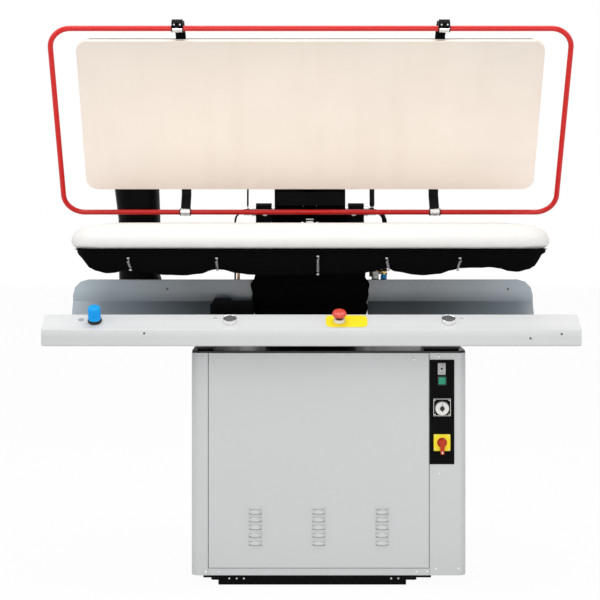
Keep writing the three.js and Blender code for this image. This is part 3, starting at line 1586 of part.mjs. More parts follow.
// Exhaust duct: a plenum on the cabinet top and a black chimney that rises behind the left side
function buildDuct() {
  const ductX = -505;
  const ductTopX = -516;
  const ductTop = 1320;
  const ductSteps = 9;
  const ductSides = 12;
  const plenumLeft = -300;
  const plenumRight = -234;
  const plenumHeight = 134;
  const plenumFront = 180;
  const plenumRear = 292;
  const plenum = block(plenumLeft, plenumRight, plenumFront, plenumRear, coverTop, coverTop + plenumHeight);
  const room = block(
    plenumLeft + plateWall,
    plenumRight - plateWall,
    plenumFront + plateWall,
    plenumRear - plateWall,
    coverTop - overrun,
    coverTop + plenumHeight - plateWall,
  );
  const level = coverTop + ductRadius + cabinetGap;
  const chimney = tube([
    [plenumLeft, ductY, level],
    [plenumLeft - ductRadius, ductY, level],
    [ductX + ductRadius * 0.6, ductY, level + ductRadius * 0.22],
    [ductX, ductY, level + ductRadius * 1.6],
    [ductX, ductY, level + ductRadius * 4],
    [ductTopX, ductY, ductTop - ductRadius],
    [ductTopX, ductY, ductTop],
  ], ductRadius, ductSteps, ductSides, ductRadius - plateWall);
  const throat = rod([plenumLeft - overrun, ductY, level], [plenumLeft + overrun * 2, ductY, level], ductRadius - plateWall);
  place("exhaust_duct", join(cut(plenum, room, throat), chimney), blackPaint());
}

buildBase();
buildCabinet();
buildInside();
buildControls();
buildBeam();
buildTray();
buildBeamButtons();
buildBuck();
buildSkirt();
buildColumn();
buildServices();
buildStand();
buildCylinder();
buildArm();
buildHeadPlate(buildGuard());
buildLines();
buildDuct();

// The origin lies on the floor under the middle of the whole press, from beam front to duct back
press.position.y = (beamFront - ductY - ductRadius) / 2;

export default press;
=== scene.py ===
import json
import math
import random

import bmesh
import bpy
from mathutils import Matrix, Vector, noise
from mathutils.bvhtree import BVHTree


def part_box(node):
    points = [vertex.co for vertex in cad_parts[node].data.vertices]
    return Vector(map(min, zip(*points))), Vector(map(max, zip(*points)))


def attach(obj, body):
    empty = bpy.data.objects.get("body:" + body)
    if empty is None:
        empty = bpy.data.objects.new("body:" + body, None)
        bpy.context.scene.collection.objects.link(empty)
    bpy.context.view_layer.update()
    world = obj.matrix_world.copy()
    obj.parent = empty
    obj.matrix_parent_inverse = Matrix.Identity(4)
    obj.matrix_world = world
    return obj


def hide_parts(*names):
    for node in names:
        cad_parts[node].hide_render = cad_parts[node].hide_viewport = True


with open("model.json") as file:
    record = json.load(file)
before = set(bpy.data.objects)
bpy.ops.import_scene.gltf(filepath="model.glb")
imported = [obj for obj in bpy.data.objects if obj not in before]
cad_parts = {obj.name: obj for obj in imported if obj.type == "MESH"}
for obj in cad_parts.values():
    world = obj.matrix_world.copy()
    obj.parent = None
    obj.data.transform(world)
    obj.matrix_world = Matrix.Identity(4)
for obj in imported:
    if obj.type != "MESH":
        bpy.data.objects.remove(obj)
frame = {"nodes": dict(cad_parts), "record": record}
nodes = frame["nodes"]
body_of_node = {n: b for b, names in frame["record"]["behaviour"]["bodies"].items() for n in names}
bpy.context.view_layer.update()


def low(node):
    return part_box(node)[0]


def high(node):
    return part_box(node)[1]


# Camera of the photograph: level, in front of the beam, with the horizon above the middle

camera_data = bpy.data.cameras.new("photo_camera")
camera_data.lens = 99.9
camera_data.sensor_width = 36
camera_data.shift_y = -0.1767
camera_data.clip_end = 60
camera = bpy.data.objects.new("photo_camera", camera_data)
camera.location = (-0.029, -4.629, 1.041)
camera.rotation_euler = (math.pi / 2, 0, 0)
bpy.context.scene.collection.objects.link(camera)
bpy.context.scene.camera = camera
bpy.context.scene.view_settings.view_transform = "Standard"


# Shader groups, each built once

SOCKETS = {"Vector": "NodeSocketVector", "Colour": "NodeSocketColor"}


def shader_group(name, inputs, outputs):
    """A node group with named sockets, and its inputs' values and its output node."""
    tree = bpy.data.node_groups.new(name, "ShaderNodeTree")
    for side, labels in (("INPUT", inputs), ("OUTPUT", outputs)):
        for label in labels:
            kind = SOCKETS.get(label.split()[-1], "NodeSocketFloat")
            tree.interface.new_socket(label, in_out=side, socket_type=kind)
    return tree, tree.nodes.new("NodeGroupInput").outputs, tree.nodes.new("NodeGroupOutput")


def feed(tree, node, feeds):
    """Feeds a node's inputs, each from a socket or with a plain value."""
    for label, value in feeds.items():
        if hasattr(value, "is_output"):
            tree.links.new(value, node.inputs[label])
        else:
            node.inputs[label].default_value = value


def node_in(tree, kind, feeds, **settings):
    """A shader node in a tree, with its settings and its inputs."""
    node = tree.nodes.new("ShaderNode" + kind)
    for setting, value in settings.items():
        setattr(node, setting, value)
    feed(tree, node, feeds)
    return node


def noise_in(tree, vector, scale, detail=3.0, rough=0.5):
    """A noise texture's value, read at a vector."""
    feeds = {"Vector": vector, "Scale": scale, "Detail": detail, "Roughness": rough}
    return node_in(tree, "TexNoise", feeds).outputs["Fac"]


def sum_in(tree, operation, a, b=0.5, clamp=False):
    """The result of a sum of two values."""
    return node_in(tree, "Math", {0: a, 1: b}, operation=operation, use_clamp=clamp).outputs[0]


def plus(tree, a, b, clamp=False):
    return sum_in(tree, "ADD", a, b, clamp)


def times(tree, a, b, clamp=False):
    return sum_in(tree, "MULTIPLY", a, b, clamp)


def centred(tree, value):
    """A value from 0 to 1, moved to lie about zero."""
    return sum_in(tree, "SUBTRACT", value, 0.5)


def spread_in(tree, value, from_low, from_high, to_low=0.0, to_high=1.0):
    """A value's range spread to another range, and held at both ends."""
    feeds = {"Value": value, "From Min": from_low, "From Max": from_high, "To Min": to_low, "To Max": to_high}
    return node_in(tree, "MapRange", feeds).outputs["Result"]


def mixed_in(tree, factor, a, b, blend="MIX"):
    """A mix of two colours."""
    colour_a, colour_b, result = 6, 7, 2
    feeds = {0: factor, colour_a: a, colour_b: b}
    return node_in(tree, "Mix", feeds, data_type="RGBA", blend_type=blend).outputs[result]


def stretched_in(tree, vector, scale):
    """A vector with a scale of its own for each axis."""
    return node_in(tree, "Mapping", {"Vector": vector, "Scale": scale}).outputs["Vector"]


def grey_in(tree, level):
    """A grey of a value's level."""
    return node_in(tree, "CombineColor", {0: level, 1: level, 2: level}).outputs[0]


def shaded_in(tree, colour, level):
    """A colour multiplied by a value."""
    return mixed_in(tree, 1.0, colour, grey_in(tree, level), "MULTIPLY")


def make_paint_skin():
    """Sprayed or powder-coated metal: slow colour drift, dull patches and orange peel."""
    tree, given, end = shader_group(
        "paint_skin", ("Vector", "Colour", "Drift", "Roughness", "Patches", "Peel Scale"),
        ("Colour", "Roughness", "Height"))
    place = given["Vector"]
    slow = noise_in(tree, place, 2.3, 4.0)
    fine = noise_in(tree, place, 60.0, 5.0, 0.6)
    both = plus(tree, times(tree, slow, 0.7), times(tree, fine, 0.3))
    level = times(tree, centred(tree, both), given["Drift"])
    shade = plus(tree, times(tree, level, 3.0), 1.0)
    patch = times(tree, centred(tree, noise_in(tree, place, 14.0)), given["Patches"])
    feed(tree, end, {
        "Colour": shaded_in(tree, given["Colour"], shade),
        "Roughness": plus(tree, given["Roughness"], patch, clamp=True),
        "Height": noise_in(tree, place, given["Peel Scale"], 2.0),
    })
    return tree


def make_edge_wear():
    """Rubbed edges: where the rounded normal leaves the flat one, broken up by noise."""
    tree, given, end = shader_group("edge_wear", ("Vector", "Radius", "Amount"), ("Mask",))
    rounded_way = node_in(tree, "Bevel", {"Radius": given["Radius"]}, samples=4).outputs["Normal"]
    flat_way = node_in(tree, "NewGeometry", {}).outputs["Normal"]
    alike = node_in(tree, "VectorMath", {0: rounded_way, 1: flat_way}, operation="DOT_PRODUCT")
    edge = spread_in(tree, alike.outputs["Value"], 0.97, 0.82)
    broken = spread_in(tree, noise_in(tree, given["Vector"], 55.0, 6.0, 0.7), 0.48, 0.62)
    feed(tree, end, {"Mask": times(tree, times(tree, edge, broken), given["Amount"], clamp=True)})
    return tree


def make_brushed():
    """Ground or brushed metal: long fine streaks along X, with a slow drift in tone."""
    tree, given, end = shader_group(
        "brushed_metal", ("Vector", "Colour", "Roughness", "Streaks"), ("Colour", "Roughness", "Height"))
    place = given["Vector"]
    long = noise_in(tree, stretched_in(tree, place, (6.0, 700.0, 700.0)), 1.0, 4.0, 0.6)
    slow = noise_in(tree, place, 3.5, 4.0)
    level = times(tree, centred(tree, long), given["Streaks"])
    tone = plus(tree, level, times(tree, centred(tree, slow), 0.12))
    feed(tree, end, {
        "Colour": shaded_in(tree, given["Colour"], plus(tree, tone, 1.0)),
        "Roughness": plus(tree, given["Roughness"], times(tree, level, 1.5), clamp=True),
        "Height": long,
    })
    return tree


def make_weave():
    """Plain woven cloth: crossing threads, slight slubs and a soft drift in tone."""
    tree, given, end = shader_group(
        "plain_weave", ("Vector", "Colour", "Shadow Colour", "Threads", "Drift"), ("Colour", "Height"))
    place, threads = given["Vector"], given["Threads"]
    apart = node_in(tree, "SeparateXYZ", {0: place})
    across = plus(tree, apart.outputs["Y"], apart.outputs["Z"])
    warp = sum_in(tree, "SINE", times(tree, apart.outputs["X"], threads))
    weft = sum_in(tree, "SINE", times(tree, across, threads))
    cross = times(tree, warp, weft)
    slub = noise_in(tree, place, 220.0)
    slow = noise_in(tree, place, 5.0, 5.0, 0.6)
    dirty = times(tree, spread_in(tree, slow, 0.42, 0.78), given["Drift"])
    dips = spread_in(tree, cross, -1.0, 1.0, 0.12, 0.0)
    shadow = plus(tree, dirty, dips, clamp=True)
    feed(tree, end, {
        "Colour": mixed_in(tree, shadow, given["Colour"], given["Shadow Colour"]),
        "Height": plus(tree, times(tree, cross, 0.35), slub),
    })
    return tree


def make_heat_stain():
    """Steam and heat marks on the polished plate: broad clouds, upright streaks and faint rows."""
    tree, given, end = shader_group(
        "heat_stain", ("Vector", "Colour", "Stain Colour", "Amount"), ("Colour", "Mask"))
    place = given["Vector"]
    clouds = noise_in(tree, stretched_in(tree, place, (2.0, 1.2, 1.6)), 2.0, 6.0, 0.62)
    upright = noise_in(tree, stretched_in(tree, place, (13.0, 0.6, 0.6)), 1.0)
    rows = noise_in(tree, stretched_in(tree, place, (0.4, 9.0, 12.0)), 1.0, 2.0)
    total = plus(tree, spread_in(tree, clouds, 0.42, 0.74), spread_in(tree, upright, 0.5, 0.72, 0.0, 0.8))
    total = plus(tree, total, spread_in(tree, rows, 0.52, 0.75, 0.0, 0.5))
    mask = times(tree, total, given["Amount"], clamp=True)
    feed(tree, end, {
        "Colour": mixed_in(tree, mask, given["Colour"], given["Stain Colour"]),
        "Mask": mask,
    })
    return tree


paint_skin = make_paint_skin()
edge_wear = make_edge_wear()
brushed_metal = make_brushed()
plain_weave = make_weave()
heat_stain = make_heat_stain()


# Materials, named after the press's own finishes

finishes = {}


def blank(name):
    """The tree, the shader and the piece's own coordinates of a new finish, which is kept by its name."""
    material = bpy.data.materials.new(name)
    material.use_nodes = True
    finishes[name] = material
    tree = material.node_tree
    return tree, tree.nodes["Principled BSDF"], tree.nodes.new("ShaderNodeTexCoord").outputs["Object"]


def placed(tree, group, **values):
    """A shader group in a tree, with its own values."""
    feeds = {label.replace("_", " "): value for label, value in values.items()}
    return node_in(tree, "Group", feeds, node_tree=group)


def bumped(tree, shader, height, strength, distance):
    """Gives a finish its fine relief."""
    relief = node_in(tree, "Bump", {"Strength": strength, "Distance": distance, "Height": height})
    feed(tree, shader, {"Normal": relief.outputs["Normal"]})


def skinned(name, colour, coat, coat_roughness, shine, **skin_values):
    """A painted or moulded finish, before its wear and relief."""
    tree, shader, place = blank(name)
    skin = placed(tree, paint_skin, Vector=place, Colour=(*colour, 1), **skin_values)
    feed(tree, shader, {
        "Base Color": skin.outputs["Colour"],
        "Roughness": skin.outputs["Roughness"],
        "Coat Weight": coat,
        "Coat Roughness": coat_roughness,
        "Specular IOR Level": shine,
    })
    return tree, shader, place, skin


def painted(name, colour, roughness, drift, peel, wear=0.0, worn_tone=0.0, coat=0.0, grain=420.0, shine=0.5):
    """Painted or powder-coated metal, with rubbed edges where wear is above zero."""
    tree, shader, place, skin = skinned(
        name, colour, coat, 0.12, shine, Drift=drift, Roughness=roughness, Patches=0.08, Peel_Scale=grain)
    if wear:
        rubbed = placed(tree, edge_wear, Vector=place, Radius=0.002, Amount=wear).outputs["Mask"]
        worn = (worn_tone, worn_tone, worn_tone, 1)
        feed(tree, shader, {"Base Color": mixed_in(tree, rubbed, skin.outputs["Colour"], worn)})
    bumped(tree, shader, skin.outputs["Height"], peel, 0.0004)


def painted_light_along(name, axis, near, far, near_tone, far_tone=1.0):
    """Shades a finish with the distance from the middle of an axis: painted light and shade."""
    tree = finishes[name].node_tree
    shader = tree.nodes["Principled BSDF"]
    place = tree.nodes["Texture Coordinate"].outputs["Object"]
    away = sum_in(tree, "ABSOLUTE", node_in(tree, "SeparateXYZ", {0: place}).outputs[axis])
    level = spread_in(tree, away, near, far, near_tone, far_tone)
    colour = shader.inputs["Base Color"].links[0].from_socket
    feed(tree, shader, {"Base Color": shaded_in(tree, colour, level)})


def metal(name, colour, roughness, streaks, bump):
    """Bare metal with fine streaks along X."""
    tree, shader, place = blank(name)
    ground = placed(tree, brushed_metal, Vector=place, Colour=(*colour, 1), Roughness=roughness,
                    Streaks=streaks)
    feed(tree, shader, {
        "Base Color": ground.outputs["Colour"],
        "Roughness": ground.outputs["Roughness"],
        "Metallic": 1.0,
    })
    bumped(tree, shader, ground.outputs["Height"], bump, 0.0003)


def plastic(name, colour, roughness, drift=0.04, grain=0.15, coat=0.0, shine=0.5):
    """Moulded plastic with a faint grain and uneven gloss."""
    tree, shader, _, skin = skinned(
        name, colour, coat, 0.08, shine, Drift=drift, Roughness=roughness, Patches=0.12, Peel_Scale=1400.0)
    bumped(tree, shader, skin.outputs["Height"], grain, 0.0003)


def lens(name, colour):
    """Clear coloured plastic over a lamp: deep colour, hard gloss and a faint light of its own."""
    tree, shader, _, skin = skinned(
        name, colour, 0.05, 0.08, 0.12, Drift=0.1, Roughness=0.24, Patches=0.05, Peel_Scale=900.0)
    feed(tree, shader, {"Emission Color": (*colour, 1), "Emission Strength": 0.06})
    bumped(tree, shader, skin.outputs["Height"], 0.08, 0.0003)


def cloth(name, colour, shadow, threads, drift, bump, sheen=0.0, roughness=0.9, shine=0.05):
    """Woven cloth."""
    tree, shader, place = blank(name)
    woven = placed(tree, plain_weave, Vector=place, Colour=(*colour, 1), Shadow_Colour=(*shadow, 1),
                   Threads=threads, Drift=drift)
    feed(tree, shader, {
        "Base Color": woven.outputs["Colour"],
        "Roughness": roughness,
        "Specular IOR Level": shine,
        "Sheen Weight": sheen,
        "Sheen Roughness": 0.5,
    })
    bumped(tree, shader, woven.outputs["Height"], bump, 0.0006)


def polished_plate_finish():
    """The head's polished sole: a cream colour that is a painted warm reflection, faint heat and steam
    stains, and more of the bare metal towards its top.
    """
    tree, shader, place = blank("polished_plate")
    # the cream base colour is a painted reflection of the warm pad and wall on the polished metal; the stain
    # colour is real heat and steam staining
    stain = placed(tree, heat_stain, Vector=place, Colour=(0.90, 0.815, 0.725, 1),
                   Stain_Colour=(0.80, 0.70, 0.60, 1), Amount=0.26)
    ground = placed(tree, brushed_metal, Vector=place, Colour=stain.outputs["Colour"], Roughness=0.34,
                    Streaks=0.03)
    height = node_in(tree, "SeparateXYZ", {0: place}).outputs["Z"]
    feed(tree, shader, {
        "Base Color": ground.outputs["Colour"],
        "Roughness": plus(tree, ground.outputs["Roughness"], times(tree, stain.outputs["Mask"], 0.12)),
        "Metallic": spread_in(tree, height, 1.12, 1.45, 0.20, 0.45),
    })
    bumped(tree, shader, ground.outputs["Height"], 0.02, 0.0002)


painted("grey_paint", (0.54, 0.55, 0.555), 0.36, 0.03, 0.3, 0.25, 0.42)
painted("louvre_shade", (0.16, 0.165, 0.17), 0.5, 0.1, 0.3)
painted("tray_paint", (0.45, 0.52, 0.575), 0.30, 0.10, 0.35, 0.3, 0.7, grain=300.0)
# painted shade and painted reflection of the dark column: the tray is darker towards the middle of its
# length, under the buck
painted_light_along("tray_paint", "X", 0.30, 0.66, 0.36)
painted("beam_paint", (0.65, 0.66, 0.665), 0.34, 0.03, 0.3, 0.25, 0.5)
# painted light: the beam keeps its full, lighter grey only high up on its sloping top, and is shaded to 0.78
# of it on the face below
painted_light_along("beam_paint", "Z", 0.675, 0.705, 0.78)
painted("black_paint", (0.0026, 0.0026, 0.0028), 0.45, 0.25, 0.4, 0.25, 0.04, shine=0.04)
painted("black_cover", (0.008, 0.008, 0.008), 0.40, 0.2, 0.2, 0.4, 0.12, shine=0.3)
painted("red_paint", (0.60, 0.006, 0.004), 0.30, 0.06, 0.12, coat=0.2, shine=0.3)
painted("black_panel", (0.0035, 0.0035, 0.004), 0.42, 0.2, 0.1, shine=0.02)
polished_plate_finish()
# painted light and shade: the plate is made lighter than its colour at its foot, and darker towards its top
painted_light_along("polished_plate", "Z", 1.18, 1.66, 1.10, 0.76)
metal("polished_steel", (0.80, 0.80, 0.79), 0.18, 0.08, 0.03)
metal("bare_steel", (0.58, 0.59, 0.60), 0.38, 0.3, 0.12)
metal("bare_aluminium", (0.70, 0.71, 0.72), 0.33, 0.15, 0.08)
metal("brass_metal", (0.70, 0.52, 0.25), 0.3, 0.15, 0.08)
metal("copper_metal", (0.66, 0.36, 0.21), 0.34, 0.25, 0.08)
plastic("black_plastic", (0.010, 0.010, 0.011), 0.42, grain=0.3, shine=0.3)
plastic("palm_grey", (0.085, 0.088, 0.092), 0.5, drift=0.25, grain=0.8)
metal("spring_wire", (0.30, 0.30, 0.30), 0.40, 0.3, 0.1)
metal("dark_screw", (0.10, 0.10, 0.105), 0.42, 0.3, 0.1)
plastic("grey_plastic", (0.33, 0.34, 0.35), 0.5, grain=0.4)
plastic("white_plastic", (0.74, 0.73, 0.70), 0.4)
plastic("red_plastic", (0.64, 0.055, 0.03), 0.34, coat=0.1)
plastic("switch_red", (0.46, 0.035, 0.004), 0.34, shine=0.15)
plastic("yellow_plastic", (0.90, 0.74, 0.015), 0.4, shine=0.2)
plastic("blue_plastic", (0.001, 0.33, 0.80), 0.33, coat=0.1, shine=0.2)
lens("green_lens", (0.0, 0.24, 0.13))
lens("lamp_clear", (0.42, 0.45, 0.43))
plastic("rubber_black", (0.006, 0.006, 0.0065), 0.7, grain=0.6, shine=0.15)
cloth("white_cover", (0.76, 0.75, 0.735), (0.70, 0.68, 0.65), 1500.0, 0.10, 0.25, sheen=0.10, shine=0.3)
cloth("black_cloth", (0.0016, 0.0016, 0.0018), (0.0008, 0.0008, 0.0009), 1100.0, 0.5, 0.5)
cloth("boot_cloth", (0.0022, 0.0022, 0.0024), (0.0011, 0.0011, 0.0012), 700.0, 0.5, 0.45, roughness=0.85)

# a slot has the finish of its own name, but for these
finish_of_slot = {
    "green_plastic": "green_lens",
    "brass": "brass_metal",
    "copper_tube": "copper_metal",
    "rubber": "rubber_black",
    "white_cloth": "white_cover",
}
slot_of_node = {entry["node"]: entry["material_slot"] for entry in frame["record"]["subparts"]}


# Carried-over sheet and turned parts, with rounded edges and smooth curves

SHARP = 38.0


def held(share):
    """A share held between 0 and 1."""
    return min(max(share, 0.0), 1.0)


def eased(share):
    """A share that starts and ends softly."""
    return share * share * (3 - 2 * share)


def coated(piece, slot, finish=None):
    """Gives a piece the finish of its slot, or another one."""
    piece.data.materials.clear()
    piece.data.materials.append(finishes[finish or finish_of_slot.get(slot, slot)])


def finished(piece, slot, body="cabinet", node=None, finish=None):
    """Gives a piece its finish, body and slot, and the CAD node it stands for."""
    coated(piece, slot, finish)
    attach(piece, body)
    if node:
        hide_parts(node)
    return piece


def smooth_faces(mesh):
    for face in mesh.polygons:
        face.use_smooth = True


def object_from(form, name, smooth_angle):
    """An object made from a bmesh, smooth where its faces meet at less than the angle."""
    bmesh.ops.recalc_face_normals(form, faces=form.faces)
    mesh = bpy.data.meshes.new(name)
    form.to_mesh(mesh)
    form.free()
    smooth_faces(mesh)
    mesh.set_sharp_from_angle(angle=math.radians(smooth_angle))
    piece = bpy.data.objects.new(name, mesh)
    bpy.context.scene.collection.objects.link(piece)
    return piece


def merged_copy(node):
    """A bmesh of a CAD node with its corners merged and its flat faces whole."""
    form = bmesh.new()
    form.from_mesh(nodes[node].data)
    bmesh.ops.remove_doubles(form, verts=form.verts, dist=2e-5)
    bmesh.ops.dissolve_limit(form, angle_limit=math.radians(0.8), verts=form.verts, edges=form.edges)
    return form


def piece_from(form, name, slot, body="cabinet", angle=30.0, node=None, finish=None):
    """A finished piece made from a bmesh."""
    return finished(object_from(form, name, angle), slot, body, node, finish)


def even_faces(piece):
    """Keeps a piece's flat faces flat beside its rounded edges."""
    flat = piece.modifiers.new("flat_faces", "WEIGHTED_NORMAL")
    flat.keep_sharp = True
    flat.weight = 100


def subdivided(piece, name):
    """Makes a piece's curves finer by subdivision."""
    finer = piece.modifiers.new(name, "SUBSURF")
    finer.levels = 1
    finer.render_levels = 1


def stand_in(form, node, angle, finish=None):
    """A piece that stands for a CAD node, in the finish of the node's slot or another one."""
    return piece_from(form, node + "_finished", slot_of_node[node], body_of_node[node], angle, node, finish)


def eased_edges(form, edges, width, segments=2, clamp=False):
    """Rounds edges of a bmesh to a width."""
    bmesh.ops.bevel(form, geom=edges, offset=width, segments=segments, profile=0.5, affect="EDGES",
                    material=-1, clamp_overlap=clamp)


for name, node in nodes.items():
    coated(node, slot_of_node[name])

edge_widths = {
    "control_beam": 0.0012, "garment_tray": 0.0006, "front_door": 0.0008, "left_side_panel": 0.0006,
    "right_side_panel": 0.0006, "rear_panel": 0.0005, "floor_pan": 0.0005, "cabinet_top": 0.0008,
    "control_plate": 0.0005, "main_switch_plate": 0.0006, "main_switch_handle": 0.0010,
    "timer_dial": 0.0006, "lamp_switch_key": 0.0008, "stop_button_plate": 0.0004,
    "stop_button_collar": 0.0008, "stop_button_head": 0.0015, "stop_button_stem": 0.0004,
    "regulator_collar": 0.0008, "regulator_knob": 0.0008, "head_arm": 0.0020, "head_casing": 0.0020,
    "head_shaft": 0.0008, "closing_lever": 0.0010, "lever_pin": 0.0008,
    "guard_strap_front_left": 0.0006, "guard_strap_front_right": 0.0006,
    "guard_strap_rear_left": 0.0006, "guard_strap_rear_right": 0.0006, "base_frame": 0.0015,
    "levelling_foot_front_left": 0.0010, "levelling_foot_rear_left": 0.0010,
    "levelling_foot_front_right": 0.0010, "levelling_foot_rear_right": 0.0010, "buck_column": 0.0015,
    "buck_pan": 0.0010, "damper_box": 0.0012, "steam_supply_pipe": 0.0003, "steam_valve": 0.0005,
    "stand_frame": 0.0015, "air_cylinder": 0.0010, "cylinder_rod": 0.0008, "exhaust_duct": 0.0015,
    "boiler_tank": 0.0010, "heater_flange": 0.0010, "suction_fan_housing": 0.0008,
    "suction_motor": 0.0010,
}
own_finishes = {
    "control_beam": "beam_paint",
    "garment_tray": "tray_paint",
    "cabinet_top": "black_cover",
    "main_switch_handle": "switch_red",
}
for name, width in edge_widths.items():
    form = merged_copy(name)
    sharp = [e for e in form.edges if len(e.link_faces) == 2 and e.calc_face_angle(0.0) > math.radians(SHARP)]
    eased_edges(form, sharp, width, clamp=True)
    even_faces(stand_in(form, name, SHARP, own_finishes.get(name)))

# the hose swells and leans outwards above the pad, as a soft duct does
duct_middle, lean_start, lean_length, lean = -0.507, 0.955, 0.13, 0.024
for vertex in bpy.data.objects["exhaust_duct_finished"].data.vertices:
    if vertex.co.x < duct_middle:
        vertex.co.x -= lean * eased(held((vertex.co.z - lean_start) / lean_length))

for name in ("steam_line_head", "signal_line_head", "steam_line_stand", "signal_line_stand"):
    subdivided(stand_in(merged_copy(name), name, 60.0), "round")


# Head frame: the head's own axes, closed, with the hinge at its origin

hinge, open_angle = (0, 0.261, 0.990), math.radians(57.8)
head_frame = Matrix.Translation(hinge) @ Matrix.Rotation(-open_angle, 4, "X")
plate_corner, guard_corner = 0.034, 0.058
tube_radius = 0.0075
strap_x = 0.3602


def reach_in_head(node):
    """Lowest and highest corner of a node in the head's frame."""
    back_to_head = head_frame.inverted()
    points = [back_to_head @ v.co for v in nodes[node].data.vertices]
    return Vector([min(axis) for axis in zip(*points)]), Vector([max(axis) for axis in zip(*points)])


def along_head(x, y, z):
    return head_frame @ Vector((x, y, z))


def drawn_parts(drawn, kind):
    """The parts of one kind among those that an extrusion drew."""
    return [g for g in drawn["geom"] if isinstance(g, kind)]


def added(form, before):
    """The corners added to a bmesh since an earlier look."""
    return [v for v in form.verts if v not in before]


def facing(place, axis):
    """A matrix that stands a form drawn along Z on a surface."""
    aim = Vector((0, 0, 1)).rotation_difference(Vector(axis)).to_matrix().to_4x4()
    return Matrix.Translation(place) @ aim


def swept_tube(name, points, radius, sides, cyclic=False):
    """A round tube along a line of points, as a mesh."""
    data = bpy.data.curves.new(name, "CURVE")
    data.dimensions = "3D"
    data.bevel_depth = radius
    data.bevel_resolution = sides // 2
    data.use_fill_caps = not cyclic
    line = data.splines.new("POLY")
    line.points.add(len(points) - 1)
    for spot, point in zip(line.points, points):
        spot.co = (*point, 1)
    line.use_cyclic_u = cyclic
    drawn = bpy.data.objects.new(name + "_line", data)
    bpy.context.scene.collection.objects.link(drawn)
    bpy.context.view_layer.update()
    mesh = bpy.data.meshes.new_from_object(drawn.evaluated_get(bpy.context.evaluated_depsgraph_get()))
    bpy.data.objects.remove(drawn)
    form = bmesh.new()
    form.from_mesh(mesh)
    bmesh.ops.remove_doubles(form, verts=form.verts, dist=1e-6)
    return object_from(form, name, 50.0)


def rounded_loop(x0, x1, y0, y1, radius, steps):
    """Corners of a rectangle drawn as arcs, anticlockwise from the lower right."""
    left, right, near, far = x0 + radius, x1 - radius, y0 + radius, y1 - radius
    loop = []
    for cx, cy, start in ((right, near, -90), (right, far, 0), (left, far, 90), (left, near, 180)):
        for step in range(steps + 1):
            angle = math.radians(start + 90 * step / steps)
            loop.append((cx + radius * math.cos(angle), cy + radius * math.sin(angle)))
    return loop


def make_guard_tube():
    """The red guard, bent in one piece from a round tube."""
    a, b = reach_in_head("guard_tube")
    level = (a.z + b.z) / 2
    x0, x1, y0, y1 = a.x + tube_radius, b.x - tube_radius, a.y + tube_radius, b.y - tube_radius
    loop = rounded_loop(x0, x1, y0, y1, guard_corner, 12)
    points = [along_head(x, y, level) for x, y in loop]
    tube = swept_tube("guard_tube_bent", points, tube_radius, cyclic=True, sides=12)
    finished(tube, "red_paint", "guard", "guard_tube")
    return a, b, level


def make_plate():
    """The polished sole plate, with eased edges and true round corners."""
    a, b = reach_in_head("head_plate")
    form = bmesh.new()
    loop = rounded_loop(a.x, b.x, a.y, b.y, plate_corner, 14)
    ring = bmesh.ops.create_circle(form, cap_ends=True, segments=len(loop), radius=1.0)["verts"]
    for vertex, (x, y) in zip(ring, loop):
        vertex.co = Vector((x, y, a.z))
    drawn = bmesh.ops.extrude_face_region(form, geom=list(form.faces))
    bmesh.ops.translate(form, verts=drawn_parts(drawn, bmesh.types.BMVert), vec=(0, 0, b.z - a.z))
    bmesh.ops.recalc_face_normals(form, faces=form.faces)
    rims = [e for e in form.edges if len(e.link_faces) == 2 and e.calc_face_angle(0) > 1.2]
    eased_edges(form, rims, 0.0018, 3)
    form.transform(head_frame)
    plate = object_from(form, "head_plate_ground", 40.0)
    even_faces(plate)
    finished(plate, "polished_plate", "head", "head_plate")


guard_low, guard_high, guard_level = make_guard_tube()
make_plate()


# Fasteners

def screw_head(form, place, axis, radius, height, kind, turn):
    """A screw head on a surface: a domed pan, a hexagon, or a socket cap."""
    sides = 6 if kind == "hex" else 20
    before = set(form.verts)
    ring = set(bmesh.ops.create_circle(form, cap_ends=True, segments=sides, radius=radius)["verts"])
    foot = [f for f in form.faces if all(v in ring for v in f.verts)]
    top = drawn_parts(bmesh.ops.extrude_face_region(form, geom=foot), bmesh.types.BMFace)
    bmesh.ops.translate(form, verts=list({v for f in top for v in f.verts}), vec=(0, 0, height * 0.55))
    narrowed = 0.5 if kind == "hex" else 1.0
    flattened = 0.4 if kind == "socket" else 1.0
    for share, rise in ((0.30, 0.30), (0.28, 0.13)):
        inset, depth = radius * share * narrowed, height * (rise * flattened)
        bmesh.ops.inset_region(form, faces=top, thickness=inset, depth=depth)
    hollow = {"pan": 0.25, "socket": 0.6}.get(kind)
    if hollow:
        bmesh.ops.inset_region(form, faces=top, thickness=radius * 0.1, depth=-height * hollow)
    matrix = facing(place, axis) @ Matrix.Rotation(turn, 4, "Z")
    bmesh.ops.transform(form, verts=added(form, before), matrix=matrix)


def screw_set(name, slot, spots, radius, height, kind, seed, body="cabinet", finish=None):
    """Several screws of one kind as one piece. A spot is (place, outward axis)."""
    turns = random.Random(seed)
    form = bmesh.new()
    for place, axis in spots:
        screw_head(form, Vector(place), axis, radius, height, kind, turns.uniform(0, math.pi))
    piece_from(form, name, slot, body, 40.0, finish=finish)


under_guard = (head_frame.to_3x3() @ Vector((0, 0, -1))).normalized()


